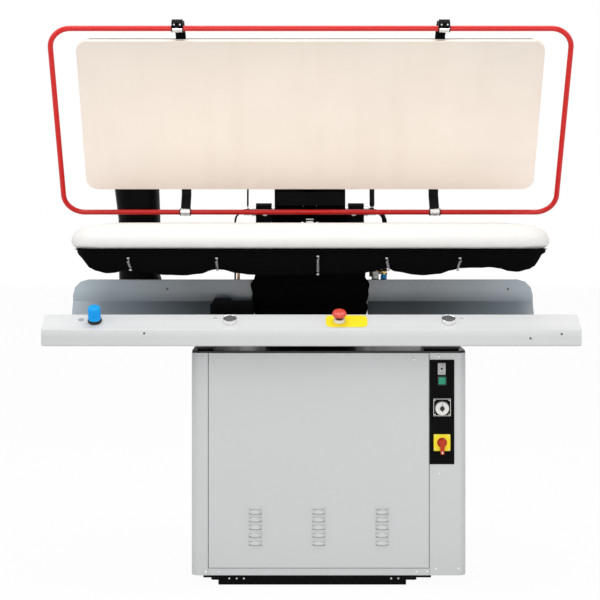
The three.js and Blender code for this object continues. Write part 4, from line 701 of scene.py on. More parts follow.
def sleeve(form, radius, half, wall):
    """A short open sleeve along X at the origin, with a wall. Gives back its corners."""
    before = set(form.verts)
    ring = bmesh.ops.create_circle(form, segments=28, radius=radius)["verts"]
    bmesh.ops.rotate(form, verts=ring, cent=(0, 0, 0), matrix=Matrix.Rotation(math.pi / 2, 3, "Y"))
    bmesh.ops.translate(form, verts=ring, vec=(-half, 0, 0))
    rim = list({e for v in ring for e in v.link_edges})
    moved = drawn_parts(bmesh.ops.extrude_edge_only(form, edges=rim), bmesh.types.BMVert)
    bmesh.ops.translate(form, verts=moved, vec=(2 * half, 0, 0))
    shell = list({f for v in moved for f in v.link_faces})
    bmesh.ops.recalc_face_normals(form, faces=shell)
    bmesh.ops.solidify(form, geom=shell, thickness=-wall)
    return added(form, before)


def make_clamps():
    """Bright split clamps round the guard tube, at the ends of the four straps."""
    form = bmesh.new()
    spots = []
    for y in (guard_low.y + tube_radius, guard_high.y - tube_radius):
        for x in (-strap_x, strap_x):
            corners = sleeve(form, 0.0098, 0.0132, 0.0009) + sleeve(form, 0.0106, 0.0040, 0.0008)
            seat = head_frame @ Matrix.Translation((x, y, guard_level))
            bmesh.ops.transform(form, verts=corners, matrix=seat)
            for screw_x in (x - 0.0086, x + 0.0086):
                spots.append((along_head(screw_x, y, guard_level - 0.0100), under_guard))
    piece_from(form, "guard_clamps", "polished_steel", "guard", 40.0)
    screw_set("guard_clamp_screws", "polished_steel", spots, 0.0026, 0.0018, "socket", 5, "guard")


make_clamps()


# Buck pad: a white cover stretched over padding, swollen by the cloth simulation

def made_solid(piece):
    """Puts a piece's modifiers into its mesh."""
    bpy.context.view_layer.update()
    mesh = bpy.data.meshes.new_from_object(piece.evaluated_get(bpy.context.evaluated_depsgraph_get()))
    piece.modifiers.clear()
    piece.data = mesh


def ripple(x, y, z):
    return noise.noise(Vector((x, y, z)))


def swollen(piece, pressure, cap, steps):
    """Lets a closed cloth form swell, with no point moving further than the cap."""
    rest = [v.co.copy() for v in piece.data.vertices]
    modifier = piece.modifiers.new("swell", "CLOTH")
    settings = modifier.settings
    settings.quality = 4
    settings.mass = 0.3
    settings.tension_stiffness = 12
    settings.compression_stiffness = 12
    settings.bending_stiffness = 2.0
    settings.use_pressure = True
    settings.uniform_pressure_force = pressure
    settings.effector_weights.gravity = 0
    modifier.point_cache.frame_start = 1
    modifier.point_cache.frame_end = steps
    scene = bpy.context.scene
    for step in range(1, steps + 1):
        scene.frame_set(step)
    swelled = piece.evaluated_get(bpy.context.evaluated_depsgraph_get())
    ends = [v.co.copy() for v in swelled.data.vertices]
    piece.modifiers.clear()
    scene.frame_set(1)
    for vertex, start, end in zip(piece.data.vertices, rest, ends):
        move = end - start
        if move.length > cap:
            move *= cap / move.length
        vertex.co = start + move


def let_out(piece, axis, start, end):
    """Lets a form out along an axis, to reach from a start to an end."""
    reach = [v.co[axis] for v in piece.data.vertices]
    span = (end - start - 0.001) / (max(reach) - min(reach))
    middle_now = (max(reach) + min(reach)) / 2
    for vertex in piece.data.vertices:
        vertex.co[axis] = (start + end) / 2 + (vertex.co[axis] - middle_now) * span


def make_pad():
    """The long pad, with hollows in its top, full ends and its cover drawn under."""
    a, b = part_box("buck_pad")
    centre = (a + b) / 2
    half_length, half_depth = (b.x - a.x) / 2, (b.y - a.y) / 2
    hollow, rolled_out, drawn_in, clear = 0.0012, 0.0075, 0.0012, 0.0003
    pad = object_from(merged_copy("buck_pad"), "buck_pad_cover", 180.0)
    remesh = pad.modifiers.new("even", "REMESH")
    remesh.mode = "VOXEL"
    remesh.voxel_size = 0.0086
    made_solid(pad)
    for vertex in pad.data.vertices:
        u = (vertex.co.x - centre.x) / half_length
        v = (vertex.co.y - centre.y) / half_depth
        # soft hollows where the padding has bedded down
        if vertex.co.z > centre.z:
            vertex.co.z -= hollow + hollow * ripple(u * 3.1, v * 1.7, 0.4)
        # the ends stand full and square low down, where the padding is rolled under
        low_share = max(0.0, 1.0 - abs(vertex.co.z - a.z - 0.015) / 0.022)
        end_share = held((abs(u) - 0.94) / 0.06)
        front_share = held((abs(v) - 0.55) / 0.4)
        vertex.co.x += math.copysign(rolled_out, u) * low_share * end_share * front_share
        # small gathers where the cover's cord draws it under
        if vertex.co.z < a.z + 0.006 and max(abs(u), abs(v)) > 0.9:
            pucker = ripple(vertex.co.x * 60, vertex.co.y * 60, 2.0)
            vertex.co.x -= math.copysign(drawn_in, u) * (1 + pucker) * (abs(u) > 0.9)
            vertex.co.y -= math.copysign(drawn_in, v) * (1 + pucker) * (abs(v) > 0.9)
    swollen(pad, 3.5, 0.006, 14)
    smooth = pad.modifiers.new("smooth", "SMOOTH")
    smooth.factor = 0.5
    smooth.iterations = 2
    made_solid(pad)
    # the smoothing draws the form in a little: it is let out again, in length a little past its own
    let_out(pad, 0, a.x - 0.008, b.x + 0.004)
    let_out(pad, 1, a.y, b.y)
    packed = 0.10
    for vertex in pad.data.vertices:
        vertex.co.z = min(max(vertex.co.z, a.z + clear), b.z + 0.0012)
        # the padding is packed hard into the ends, so they stand full
        u = (vertex.co.x - centre.x) / half_length
        if abs(u) > 0.90:
            share = 0.90 + packed * ((abs(u) - 0.90) / packed) ** 0.72
            vertex.co.x = centre.x + math.copysign(share, u) * half_length
    subdivided(pad, "finer")
    made_solid(pad)
    smooth_faces(pad.data)
    for vertex in pad.data.vertices:
        vertex.co.z = max(vertex.co.z, a.z + clear)
    finished(pad, "white_cloth", node="buck_pad")


make_pad()


def even_steps(loop, count):
    """Places at even steps round a closed line, their outward ways, and the line's length."""
    around = [Vector((x, y, 0)) for x, y in loop]
    lengths = [(around[(i + 1) % len(around)] - around[i]).length for i in range(len(around))]
    total = sum(lengths)
    spots, i, run = [], 0, 0.0
    for k in range(count):
        want = total * k / count
        while run + lengths[i] < want:
            run += lengths[i]
            i += 1
        spots.append(around[i].lerp(around[(i + 1) % len(around)], (want - run) / lengths[i]))
    ways = []
    for k in range(count):
        along = (spots[(k + 1) % count] - spots[k - 1]).normalized()
        ways.append(Vector((along.y, -along.x, 0)))
    return spots, ways, total


def hung_grid(spots, level, rows):
    """A tube of cloth as rings of corners, each ring in the order of the places."""
    form = bmesh.new()
    ring = bmesh.ops.create_circle(form, segments=len(spots), radius=1.0)["verts"]
    for spot, vertex in zip(spots, ring):
        vertex.co = Vector((spot.x, spot.y, level))
    in_ring = set(ring)
    rim = list({e for v in ring for e in v.link_edges if e.other_vert(v) in in_ring})
    layers = [ring]
    for _ in range(rows):
        drawn = bmesh.ops.extrude_edge_only(form, edges=rim)
        fresh = drawn_parts(drawn, bmesh.types.BMVert)
        in_ring = set(fresh)
        rim = [e for e in drawn_parts(drawn, bmesh.types.BMEdge) if all(v in in_ring for v in e.verts)]
        order = {(round(v.co.x, 6), round(v.co.y, 6)): v for v in fresh}
        layers.append([order[(round(v.co.x, 6), round(v.co.y, 6))] for v in layers[-1]])
    return form, layers


def cloth_wall(piece, thickness):
    """Gives a cloth surface its thickness and rounds it."""
    wall = piece.modifiers.new("cloth_thickness", "SOLIDIFY")
    wall.thickness = thickness
    wall.offset = -1
    subdivided(piece, "finer")
    made_solid(piece)
    smooth_faces(piece.data)


# Skirt: black cloth hung round the pan, drawn up at the springs and full between them

# where each tie spring hangs, its length, how far it leans, its turns and its start below the pad
tie_springs = (
    (-0.479, 0.0165, 0.006, 6, 0.0315),
    (-0.2474, 0.0165, 0.002, 6, 0.0315),
    (0.0178, 0.033, 0.0, 11, 0.0265),
    (0.1983, 0.0165, 0.004, 6, 0.0315),
    (0.39, 0.0165, -0.006, 6, 0.0315),
)
# how far the hem hangs below the pad along the front, by x
hem_places = (
    (-0.620, 0.012), (-0.607, 0.027), (-0.596, 0.040), (-0.585, 0.050), (-0.562, 0.058), (-0.538, 0.064),
    (-0.512, 0.062), (-0.493, 0.056), (-0.479, 0.0535), (-0.462, 0.057), (-0.435, 0.062), (-0.382, 0.068),
    (-0.330, 0.0695), (-0.290, 0.065), (-0.255, 0.0545), (-0.2474, 0.053), (-0.233, 0.0545), (-0.196, 0.063),
    (-0.160, 0.0675), (-0.10, 0.070), (-0.04, 0.069), (0.0178, 0.066), (0.07, 0.066), (0.12, 0.065),
    (0.160, 0.060), (0.180, 0.0545), (0.1983, 0.050), (0.222, 0.059), (0.27, 0.067), (0.297, 0.069),
    (0.336, 0.065), (0.368, 0.056), (0.39, 0.050), (0.44, 0.0495), (0.468, 0.048), (0.494, 0.051),
    (0.520, 0.058), (0.54, 0.060), (0.572, 0.053), (0.59, 0.046), (0.599, 0.036), (0.606, 0.014),
    (0.620, 0.011),
)


def hem_drop(x, rear):
    """The hem's drop at a place, with the rear hanging shorter and evener."""
    drop = hem_places[-1][1]
    for (x0, d0), (x1, d1) in zip(hem_places, hem_places[1:]):
        if x <= x1:
            drop = d0 + (d1 - d0) * eased(held((x - x0) / (x1 - x0)))
            break
    return drop * (1 - rear) + 0.024 * rear


def make_skirt():
    """The skirt, which hangs in gathered folds. Gives back the line of its front."""
    inset, corner, columns, rows, rear_power = 0.0165, 0.046, 560, 12, 0.8
    level = low("buck_skirt").z
    pad_low, pad_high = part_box("buck_pad")
    x0, x1 = pad_low.x + inset, pad_high.x - inset
    y0, y1 = pad_low.y + inset, pad_high.y - inset
    spots, ways, total = even_steps(rounded_loop(x0, x1, y0, y1, corner, 10), columns)
    form, layers = hung_grid(spots, level, rows)
    top = pad_low.z - 0.0004
    # the cut, before it is hung: a strip as long as the edge, its hem cut to the drops
    drops = [hem_drop(spot.x, held((spot.y - y0) / (y1 - y0)) ** rear_power) for spot in spots]
    for row, layer in enumerate(layers):
        share = row / rows
        belly = math.sin(math.pi * min(share * 1.05, 1.0))
        for vertex, spot, out, drop in zip(layer, spots, ways, drops):
            near_spring = 0.0
            if spot.y < y0 + 0.02:
                near_spring = max(math.exp(-((spot.x - spring[0]) / 0.03) ** 2) for spring in tie_springs)
            # gathered folds start at the cord and open towards the hem
            fold = ripple(spot.x * 42, spot.y * 42, 0.3) * 0.5
            fold += ripple(spot.x * 95 + 3, spot.y * 95, share * 2.2) * 0.3
            wide = ripple(spot.x * 11, spot.y * 11, 5.0)
            push = 0.0045 * belly * (1 - 0.7 * near_spring)
            push += 0.0035 * fold * (0.35 + share) + 0.004 * wide * share
            push -= 0.007 * share ** 3
            push += 0.0105 * math.exp(-(share / 0.10) ** 2)
            z = top - drop * share - 0.0012 * fold * share
            vertex.co = Vector((spot.x, spot.y, z)) + out * push
    skirt = object_from(form, "buck_skirt_cloth", 180.0)
    cloth_wall(skirt, 0.0014)
    finished(skirt, "black_cloth", node="buck_skirt")
    return y0


def make_springs(skirt_front):
    """Tie springs of bright wire, hooked through eyelets in the skirt's front."""
    form, eyelets = bmesh.new(), bmesh.new()
    pad_bottom = low("buck_pad").z
    wire_radius, coil_radius, step_count = 0.0008, 0.0034, 12
    front, behind = skirt_front - 0.0105, skirt_front - 0.001
    for x, length, lean, turns, start in tie_springs:
        z0 = pad_bottom - start
        z1 = z0 - length
        points = [Vector((x - 0.001, behind, z0 + 0.006)), Vector((x, front + 0.001, z0 + 0.0045))]
        for step in range(turns * step_count + 1):
            share = step / (turns * step_count)
            angle = 2 * math.pi * step / step_count
            along, towards = coil_radius * math.cos(angle), coil_radius * math.sin(angle)
            points.append(Vector((x + lean * share + along, front + towards, z0 - length * share)))
        points.append(Vector((x + lean, front + 0.001, z1 - 0.004)))
        points.append(Vector((x + lean, behind, z1 - 0.0055)))
        wire = swept_tube("tie_wire", points, wire_radius, sides=6)
        form.from_mesh(wire.data)
        bpy.data.objects.remove(wire)
        for eyelet_x, z in ((x, z0 + 0.007), (x + lean, z1 - 0.007)):
            bead = bmesh.ops.create_uvsphere(eyelets, u_segments=16, v_segments=8, radius=0.0036)["verts"]
            bmesh.ops.scale(eyelets, verts=bead, vec=(1.15, 0.34, 0.8))
            bmesh.ops.translate(eyelets, verts=bead, vec=(eyelet_x, skirt_front - 0.0035, z))
    piece_from(form, "tie_springs", "polished_steel", angle=60.0, finish="spring_wire")
    piece_from(eyelets, "tie_eyelets", "polished_steel", angle=60.0, finish="spring_wire")


make_springs(make_skirt())


# Boot: black cloth round the column, gathered at the pan and sagging in rolls

def make_boot():
    """The boot round the column, which keeps clear of the tray's cut-out."""
    a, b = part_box("column_boot")
    fuller, corner, columns, rows = 0.0015, 0.020, 300, 40
    loop = rounded_loop(a.x - fuller, b.x + fuller, a.y + fuller, b.y - fuller, corner, 8)
    spots, ways, total = even_steps(loop, columns)
    form, layers = hung_grid(spots, b.z, rows)
    tray_line = high("garment_tray").y
    for row, layer in enumerate(layers):
        share = row / rows
        z = b.z - (b.z - a.z) * share
        # it bulges out before the tray, and keeps clear of the edges of the tray's cut-out
        sheet_y = tray_line - 0.034 * held((0.742 - z) / 0.050)
        bulge = math.sin(math.pi * min(share * 1.1, 1.0))
        # it is tied in at the pan and tucked in at the foot
        tied = 0.0075 * (math.exp(-(share / 0.06) ** 2) + math.exp(-((share - 1) / 0.05) ** 2))
        for vertex, spot, out in zip(layer, spots, ways):
            lift = ripple(spot.x * 6, spot.y * 6, 1.0) * 0.22
            roll = math.sin((share + lift) * math.pi * 5.0 + 0.6)
            sag = ripple(spot.x * 17, spot.y * 17, share * 4) * 0.5
            fine = ripple(spot.x * 55, spot.y * 55, share * 12) * 0.2
            push = 0.0030 * roll + 0.0040 * sag + 0.0020 * fine + 0.0012 - tied
            place = Vector((spot.x, spot.y, z)) + out * push
            before_sheet = held((sheet_y - 0.004 - place.y) / 0.012)
            if abs(place.x) > 0.10:
                full = 0.5 + ripple(z * 30, 7.0 if place.x > 0 else 1.0, 3.0)
                place.x += math.copysign(0.013 * full * before_sheet * bulge, place.x)
            beside = math.exp(-((place.y - sheet_y) / 0.008) ** 2)
            limit = 0.1735 - 0.0165 * beside
            place.x = max(-limit, min(limit, place.x))
            vertex.co = place
    boot = object_from(form, "column_boot_cloth", 180.0)
    cloth_wall(boot, 0.0016)
    finished(boot, "black_cloth", node="column_boot", finish="boot_cloth")


make_boot()


# Small parts: placed on the finished surfaces, in metres

def landed(node, start, way):
    """Place and outward axis where a straight line from a start meets a CAD node."""
    mesh = nodes[node].data
    tree = BVHTree.FromPolygons([v.co for v in mesh.vertices], [p.vertices[:] for p in mesh.polygons])
    place, normal, _, _ = tree.ray_cast(Vector(start), Vector(way))
    return place, normal


def turned(form, matrix, profile, sides):
    """A turned body: rings of (radius, level) from the foot to the top."""
    before = set(form.verts)
    radius, level = profile[0]
    ring = set(bmesh.ops.create_circle(form, cap_ends=True, segments=sides, radius=radius)["verts"])
    bmesh.ops.translate(form, verts=list(ring), vec=(0, 0, level))
    foot = top = [f for f in form.faces if all(v in ring for v in f.verts)]
    for wide, high_level in profile[1:]:
        risen = bmesh.ops.extrude_face_region(form, geom=top)
        # only the foot stays: a face left at a lower ring would be a wall inside the body
        if top is not foot:
            bmesh.ops.delete(form, geom=top, context="FACES_ONLY")
        top = drawn_parts(risen, bmesh.types.BMFace)
        corners = list({v for f in top for v in f.verts})
        bmesh.ops.scale(form, verts=corners, vec=(wide / radius, wide / radius, 1))
        bmesh.ops.translate(form, verts=corners, vec=(0, 0, high_level - level))
        radius, level = wide, high_level
    bmesh.ops.transform(form, verts=added(form, before), matrix=matrix)


def slab(form, x0, x1, y0, y1, z0, z1, ease, segments=2):
    """A block with eased edges."""
    corners = bmesh.ops.create_cube(form, size=1.0)["verts"]
    bmesh.ops.scale(form, verts=corners, vec=(x1 - x0, y1 - y0, z1 - z0))
    bmesh.ops.translate(form, verts=corners, vec=((x0 + x1) / 2, (y0 + y1) / 2, (z0 + z1) / 2))
    eased_edges(form, list({e for v in corners for e in v.link_edges}), ease, segments)


down, back, forward = (0, 0, -1), (0, 1, 0), (0, -1, 0)


# Beam: palm buttons, lamps, a blind plug and the screws of the face

def make_palm_buttons():
    """Grooved palm buttons in bright rims, with a floor under each cap's travel."""
    rim_profile = [
        (0.0178, -0.0004), (0.0184, 0.0008), (0.0186, 0.0026), (0.0180, 0.0040), (0.0178, 0.0086),
        (0.0173, 0.0100), (0.0164, 0.0106), (0.0156, 0.0102), (0.0152, 0.0018),
    ]
    cap_profile = [(0.0147, 0.0056), (0.0147, 0.0092), (0.0139, 0.0104), (0.0126, 0.0107)]
    for groove in range(5):
        wide = 0.0121 - groove * 0.0024
        rise = 0.0108 + groove * 0.0002
        cap_profile += [(wide, rise - 0.0005), (wide - 0.0007, rise - 0.0005)]
        cap_profile += [(wide - 0.0012, rise), (wide - 0.0019, rise + 0.0001)]
    for side, x in (("left", -0.209), ("right", 0.353)):
        place, axis = landed("control_beam", (x + 0.030, -0.345, 1.2), down)
        spot = facing((x, place.y, place.z), axis)
        rim, cap = bmesh.new(), bmesh.new()
        turned(rim, spot, rim_profile, 48)
        piece_from(rim, "hand_button_bezel_" + side, "polished_steel", angle=28.0,
                   node="hand_button_rim_" + side)
        turned(cap, spot, cap_profile, 40)
        piece_from(cap, "hand_button_face_" + side, "grey_plastic", "hand_" + side, 24.0,
                   "hand_button_cap_" + side, "palm_grey")


def make_beam_parts():
    """Two small lamps in bright cups, a blind plug, and the screws of the beam and tray."""
    cups, lamps, plug = bmesh.new(), bmesh.new(), bmesh.new()
    for x, y in ((-0.248, -0.331), (0.388, -0.332)):
        spot = facing(*landed("control_beam", (x, y, 1.2), down))
        turned(cups, spot, [(0.0042, -0.0003), (0.0042, 0.0009), (0.0036, 0.0013), (0.0029, 0.0010)], 24)
        turned(lamps, spot, [(0.0027, 0.0004), (0.0027, 0.0016), (0.0023, 0.0026), (0.0014, 0.0032),
                             (0.0005, 0.0034)], 20)
    piece_from(cups, "hand_lamp_cups", "polished_steel")
    piece_from(lamps, "hand_lamps", "white_plastic", angle=40.0, finish="lamp_clear")
    turned(plug, facing(*landed("control_beam", (-0.593, -0.337, 1.2), down)),
           [(0.0075, -0.0003), (0.0075, 0.0007), (0.0069, 0.0011), (0.0055, 0.0012), (0.0053, 0.0009),
            (0.0010, 0.0009)], 28)
    piece_from(plug, "beam_plug", "grey_plastic")
    face_places = ((-0.4267, 0.6852), (0.639, 0.6836), (0.5594, 0.6724))
    spots = [landed("control_beam", (x, -1.0, z), back) for x, z in face_places]
    screw_set("beam_screws", "black_paint", spots, 0.0031, 0.0014, "socket", 11, finish="dark_screw")
    spots = [landed("garment_tray", (x, -0.2, 0.7766), back) for x in (-0.3984, 0.5496)]
    screw_set("tray_screws", "black_paint", spots, 0.0036, 0.0016, "socket", 12, finish="dark_screw")


# Control plate: counter window, key frame, dial frame and marks, main switch handle

plate_front = low("control_plate").y
dial_centre = (low("timer_dial") + high("timer_dial")) / 2


def make_counter():
    """The counter's window, its bars and its reset pit."""
    y0, y1 = plate_front - 0.0022, plate_front + 0.0006
    window, bars, pit = bmesh.new(), bmesh.new(), bmesh.new()
    slab(window, 0.3346, 0.3552, y0, y1, 0.5634, 0.5952, 0.0008)
    piece_from(window, "counter_window", "grey_plastic")
    for number in range(5):
        x = 0.3366 + number * 0.0041
        cut_short = 0.0032 if number in (1, 2, 3) else 0.0
        slab(bars, x, x + 0.0019, y0 - 0.0007, y0 + 0.0003, 0.5660 + cut_short, 0.5925 - cut_short, 0.0003, 1)
    piece_from(bars, "counter_bars", "polished_steel", finish="spring_wire")
    turned(pit, facing((0.3449, y0 - 0.0005, 0.5800), forward),
           [(0.0030, 0), (0.0030, 0.0006), (0.0026, 0.0009), (0.0016, 0.0004)], 24)
    piece_from(pit, "counter_reset", "black_plastic")


def make_key_frame():
    """The frame round the lamp key."""
    a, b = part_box("lamp_switch_key")
    outer, inner = 0.0026, 0.0006
    left, right = a.x - outer, b.x + outer
    side_low, side_high = a.z - inner * 1.5, b.z + inner * 1.5
    form = bmesh.new()
    for x0, x1, z0, z1 in (
        (left, right, b.z + inner, b.z + outer),
        (left, right, a.z - outer, a.z - inner),
        (left, a.x - inner, side_low, side_high),
        (b.x + inner, right, side_low, side_high),
    ):
        slab(form, x0, x1, plate_front - 0.0016, plate_front + 0.0006, z0, z1, 0.0004)
    piece_from(form, "lamp_key_frame", "black_plastic")


def make_dial_frame():
    """The white line round the timer's dial, its four corner studs and its minute marks."""
    line = bmesh.new()
    half, thin, corner = 0.0228, 0.0013, 0.0186
    cx, cz = dial_centre.x, dial_centre.z + 0.0025
    side_low, side_high = cz - half + thin * 1.1, cz + half - thin * 1.1
    for x0, x1, z0, z1 in (
        (cx - half, cx + half, cz + half - thin, cz + half),
        (cx - half, cx + half, cz - half, cz - half + thin),
        (cx - half, cx - half + thin, side_low, side_high),
        (cx + half - thin, cx + half, side_low, side_high),
    ):
        slab(line, x0, x1, plate_front - 0.0004, plate_front + 0.0004, z0, z1, 0.0001, 1)
    for x in (cx - corner, cx + corner):
        for z in (cz - corner, cz + corner):
            turned(line, facing((x, plate_front + 0.0003, z), forward),
                   [(0.0017, 0), (0.0017, 0.0008), (0.0013, 0.0011), (0.0004, 0.0012)], 16)
    first, step, mark_radius = -150, 12.5, 0.0190
    for number in range(25):
        angle = math.radians(first + number * step)
        length = 0.0020 if number % 5 == 0 else 0.0011
        way = Vector((math.sin(angle), 0, math.cos(angle)))
        start = Vector((cx, plate_front - 0.0001, dial_centre.z)) + way * mark_radius
        before = set(line.verts)
        slab(line, -0.0003, 0.0003, -0.0003, 0.0003, 0.0, length, 0.00005, 1)
        matrix = Matrix.Translation(start) @ Matrix.Rotation(angle, 4, "Y")
        bmesh.ops.transform(line, verts=added(line, before), matrix=matrix)
    piece_from(line, "dial_frame", "white_plastic")


def make_timer_knob():
    """The timer's knob, with its grip and pointer."""
    x, front, z = dial_centre.x, low("timer_dial").y, dial_centre.z
    knob = bmesh.new()
    turned(knob, facing((x, front + 0.0006, z), forward),
           [(0.0066, 0), (0.0066, 0.0011), (0.0058, 0.0016), (0.0046, 0.0017)], 8)
    slab(knob, x - 0.0012, x + 0.0012, front - 0.0034, front - 0.0006, z - 0.0082, z + 0.0082, 0.0005)
    slab(knob, x - 0.0004, x + 0.0004, front - 0.0006, front + 0.0003, z + 0.0092, z + 0.0150, 0.0001, 1)
    piece_from(knob, "timer_knob", "black_plastic", "timer")


def make_switch_parts():
    """The main switch's mark, the ring round its hub and the screws of its plate."""
    a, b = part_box("main_switch_handle")
    plate_low, plate_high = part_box("main_switch_plate")
    x, z, reach = (a.x + b.x) / 2, (plate_low.z + plate_high.z) / 2, 0.0180
    tip, hub = bmesh.new(), bmesh.new()
    slab(tip, x - 0.0017, x + 0.0017, a.y - 0.0006, a.y + 0.0006, a.z + 0.0020, a.z + 0.0085, 0.0004)
    piece_from(tip, "main_switch_mark", "white_plastic", "main_switch")
    turned(hub, facing((x, plate_low.y + 0.0003, z), forward),
           [(0.0132, 0), (0.0132, 0.0012), (0.0124, 0.0019), (0.0112, 0.0020)], 40)
    piece_from(hub, "main_switch_ring", "red_plastic", finish="switch_red")
    spots = [((x + dx, plate_low.y, z + dz), forward) for dx in (-reach, reach) for dz in (-reach, reach)]
    screw_set("switch_plate_screws", "bare_steel", spots, 0.0016, 0.0008, "pan", 21)


# Base: a black skid bar and lip under the front

skid_front = -0.2075


def make_base_parts():
    form = bmesh.new()
    slab(form, -0.2460, 0.2530, skid_front, -0.1880, 0.0030, 0.0328, 0.0024, 3)
    slab(form, -0.2850, 0.3180, -0.2240, -0.1900, 0.0262, 0.0328, 0.0012)
    piece_from(form, "base_skid", "black_paint")


# Louvres: pressed hoods over the door's slots, with a dark slab in each slot as painted shade

louvre_columns = (-0.1472, 0.0203, 0.1876)
louvre_rows = (0.1974, 0.1773, 0.1570, 0.1365, 0.1151)
hood_reach = (0.0180, 0.0068, 0.0135)


def make_louvres():
    hoods, slot_shade = bmesh.new(), bmesh.new()
    face_y = landed("front_door", (0.0, -1.0, 0.35), back)[0].y
    for x in louvre_columns:
        for z in louvre_rows:
            before = set(hoods.verts)
            bmesh.ops.create_uvsphere(hoods, u_segments=28, v_segments=14, radius=1.0)
            new = added(hoods, before)
            bmesh.ops.scale(hoods, verts=new, vec=hood_reach)
            bmesh.ops.translate(hoods, verts=new, vec=(x, face_y, z))
            edges = {e for v in new for e in v.link_edges}
            faces = {f for v in new for f in v.link_faces}
            bmesh.ops.bisect_plane(hoods, geom=[*new, *edges, *faces], plane_co=(x, face_y, z),
                                   plane_no=(0, 0, 1), clear_inner=True)
            # a dark slab under each hood: painted shade in the slot
            slab(slot_shade, x - 0.0158, x + 0.0158, face_y - 0.0050, face_y + 0.0004, z - 0.0015, z + 0.0012,
                 0.0004, 1)
    bmesh.ops.holes_fill(hoods, edges=[e for e in hoods.edges if e.is_boundary], sides=0)
    piece_from(hoods, "louvre_hoods", "grey_paint", angle=45.0)
    piece_from(slot_shade, "louvre_slot_shade", "grey_paint", finish="louvre_shade")


# Cabinet fasteners, by the surface they sit on

def make_cabinet_screws():
    seats = [
        ("left_side_panel", -0.2860, 0.6080), ("left_side_panel", -0.2780, 0.0420),
        ("front_door", -0.2430, 0.6050), ("front_door", 0.2717, 0.6050),
        ("right_side_panel", 0.3390, 0.6120), ("right_side_panel", 0.3394, 0.3003),
        ("right_side_panel", 0.3900, 0.0500), ("right_side_panel", 0.3300, 0.0500),
    ]
    seats += [("floor_pan", x, 0.0425) for x in (-0.2720, -0.2430, 0.2800, 0.3080)]
    spots = [landed(node, (x, -1.0, z), back) for node, x, z in seats]
    spots = [spot for spot in spots if spot[0] is not None]
    screw_set("cabinet_screws", "bare_steel", spots, 0.0034, 0.0016, "pan", 31)
    spots = [((x, skid_front, 0.0205), forward) for x in (-0.217, -0.197, -0.178, 0.213, 0.232)]
    screw_set("base_bolts", "bare_steel", spots, 0.0030, 0.0022, "hex", 32)


make_base_parts()
make_louvres()
make_palm_buttons()
make_beam_parts()
make_counter()
make_key_frame()
make_dial_frame()
make_timer_knob()
make_switch_parts()
make_cabinet_screws()


# Hinge: the arm's apron, the stand's rear cover and its bolts

def make_hinge_parts():
    apron, cover = bmesh.new(), bmesh.new()
    apron_rise, apron_run, cover_back = 0.0330, -0.0225, 0.3614
    slab(apron, -0.0992, 0.0992, -0.0010, 0.0010, 0.0, 0.0405, 0.0005, 1)
    lean = Matrix.Rotation(math.atan2(apron_rise, apron_run), 4, "X").inverted()
    apron.transform(head_frame @ Matrix.Translation((0, -0.067, 0.0012)) @ lean)
    piece_from(apron, "arm_apron", "black_paint", "head")
    slab(cover, -0.1560, 0.1560, 0.3594, cover_back, 0.8620, 0.9990, 0.0006)
    piece_from(cover, "stand_cover", "black_paint")
    spots = [((x, cover_back, z), back) for x in (-0.1440, 0.1440) for z in (0.8760, 0.9850)]
    screw_set("stand_cover_screws", "bare_steel", spots, 0.0046, 0.0026, "pan", 41)
    spots = [landed("stand_frame", (x, 0.0, 0.9814), back) for x in (-0.1308, 0.1281)]
    screw_set("stand_bolts", "polished_steel", spots, 0.0078, 0.0050, "hex", 42)


def make_clamp_brackets():
    """Brackets that carry the guard's front clamps, and their rivets."""
    form = bmesh.new()
    spots = []
    half, y0, y1, z = 0.0150, guard_low.y - 0.0150, guard_low.y + 0.0030, guard_level
    for x in (-strap_x, strap_x):
        slab(form, x - half, x + half, y0, y1, z - 0.0100, z - 0.0076, 0.0006)
        slab(form, x - half, x + half, y0, y0 + 0.0024, z - 0.0080, z + 0.0100, 0.0006)
        spots += [(along_head(x + side * 0.0080, y0 + 0.0060, z - 0.0100), under_guard) for side in (-1, 1)]
    form.transform(head_frame)
    piece_from(form, "guard_brackets", "black_paint", "guard")
    screw_set("guard_rivets", "bare_steel", spots, 0.0026, 0.0018, "pan", 43, "guard")


# Steam valve: a white coil housing and a blue hand cap on the brass body

def make_valve_parts():
    coil, cap, ring = bmesh.new(), bmesh.new(), bmesh.new()
    valve_y = 0.0400
    slab(coil, 0.1740, 0.1915, 0.0290, 0.0450, 0.7990, 0.8250, 0.0022, 3)
    slab(coil, 0.1760, 0.1895, 0.0265, 0.0300, 0.8020, 0.8160, 0.0010)
    piece_from(coil, "valve_coil", "white_plastic")
    turned(cap, Matrix.Translation((0.2050, valve_y, 0.7960)),
           [(0.0078, 0), (0.0082, 0.0015), (0.0082, 0.0150), (0.0074, 0.0185), (0.0055, 0.0195)], 12)
    piece_from(cap, "valve_cap", "blue_plastic")
    for x, z in ((0.1828, 0.8245), (0.2050, 0.8145)):
        turned(ring, Matrix.Translation((x, valve_y, z)),
               [(0.0062, 0), (0.0062, 0.0050), (0.0050, 0.0060)], 6)
    piece_from(ring, "valve_nuts", "brass")


make_hinge_parts()
make_clamp_brackets()
make_valve_parts()


# Floor, backdrop and lights

def seen_directly(tree, *rays):
    """One for a ray of the given kinds, such as the camera's own, and zero for another."""
    path = node_in(tree, "LightPath", {})
    seen = path.outputs[rays[0]]
    for ray in rays[1:]:
        seen = plus(tree, seen, path.outputs[ray], clamp=True)
    return seen


def mixed_output(tree, output, factor, first, second):
    """Ends a tree in a mix of two shaders."""
    mix = node_in(tree, "MixShader", {0: factor, 1: first.outputs[0], 2: second.outputs[0]})
    feed(tree, tree.nodes[output], {"Surface": mix.outputs[0]})


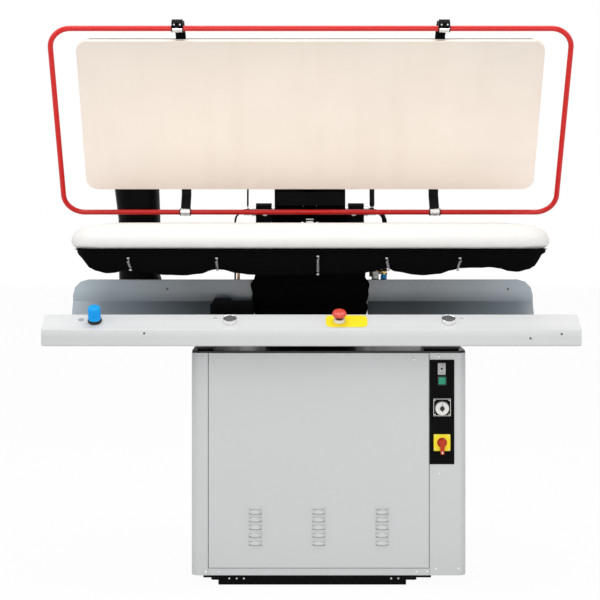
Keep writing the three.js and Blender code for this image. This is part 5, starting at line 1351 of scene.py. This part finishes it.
def make_floor():
    """A pale floor that seems almost white to the camera, so the press stands free."""
    form = bmesh.new()
    bmesh.ops.create_grid(form, x_segments=2, y_segments=2, size=14.0)
    bmesh.ops.translate(form, verts=form.verts, vec=(0, 0, -0.0005))
    floor = object_from(form, "studio_floor", 35.0)
    tree, shader, place = blank("studio_floor")
    tone = spread_in(tree, noise_in(tree, place, 1.5), 0.3, 0.7, 0.86, 0.89)
    feed(tree, shader, {"Base Color": grey_in(tree, tone), "Roughness": 0.9})
    glow = node_in(tree, "Emission", {"Color": (1, 1, 1, 1)})
    seen = times(tree, seen_directly(tree, "Is Camera Ray", "Is Glossy Ray"), 0.96)
    mixed_output(tree, "Material Output", seen, shader, glow)
    coated(floor, "studio_floor")


def make_world(level):
    """Soft warm light from all round, and plain white to the camera."""
    world = bpy.data.worlds.new("pale_studio")
    bpy.context.scene.world = world
    world.use_nodes = True
    tree = world.node_tree
    soft = tree.nodes["Background"]
    feed(tree, soft, {"Color": (1.0, 0.995, 0.985, 1), "Strength": level})
    white = node_in(tree, "Background", {"Color": (1, 1, 1, 1), "Strength": 1.0})
    seen = seen_directly(tree, "Is Camera Ray", "Is Glossy Ray", "Is Transmission Ray")
    mixed_output(tree, "World Output", seen, soft, white)


def soft_box(name, place, aim, width, height, power):
    """A soft box that lights the press from a place."""
    data = bpy.data.lights.new(name, "AREA")
    data.shape, data.size, data.size_y, data.energy = "RECTANGLE", width, height, power
    lamp = bpy.data.objects.new(name, data)
    lamp.location = place
    lamp.rotation_euler = (Vector(aim) - Vector(place)).to_track_quat("-Z", "Y").to_euler()
    bpy.context.scene.collection.objects.link(lamp)


make_floor()
make_world(0.42)
soft_box("front_soft_box", (-1.2, -4.6, 2.6), (0, 0, 0.9), 3.0, 2.0, 34)
soft_box("low_soft_box", (0.6, -4.9, 0.35), (0, 0, 1.1), 3.2, 0.6, 54)
soft_box("left_soft_box", (-3.4, -1.4, 2.2), (0, 0, 0.8), 2.2, 2.0, 30)
soft_box("right_soft_box", (3.4, -1.0, 2.0), (0, 0, 0.8), 2.0, 2.0, 22)
soft_box("top_soft_box", (0, -0.4, 3.6), (0, 0, 0.8), 3.0, 2.0, 62)
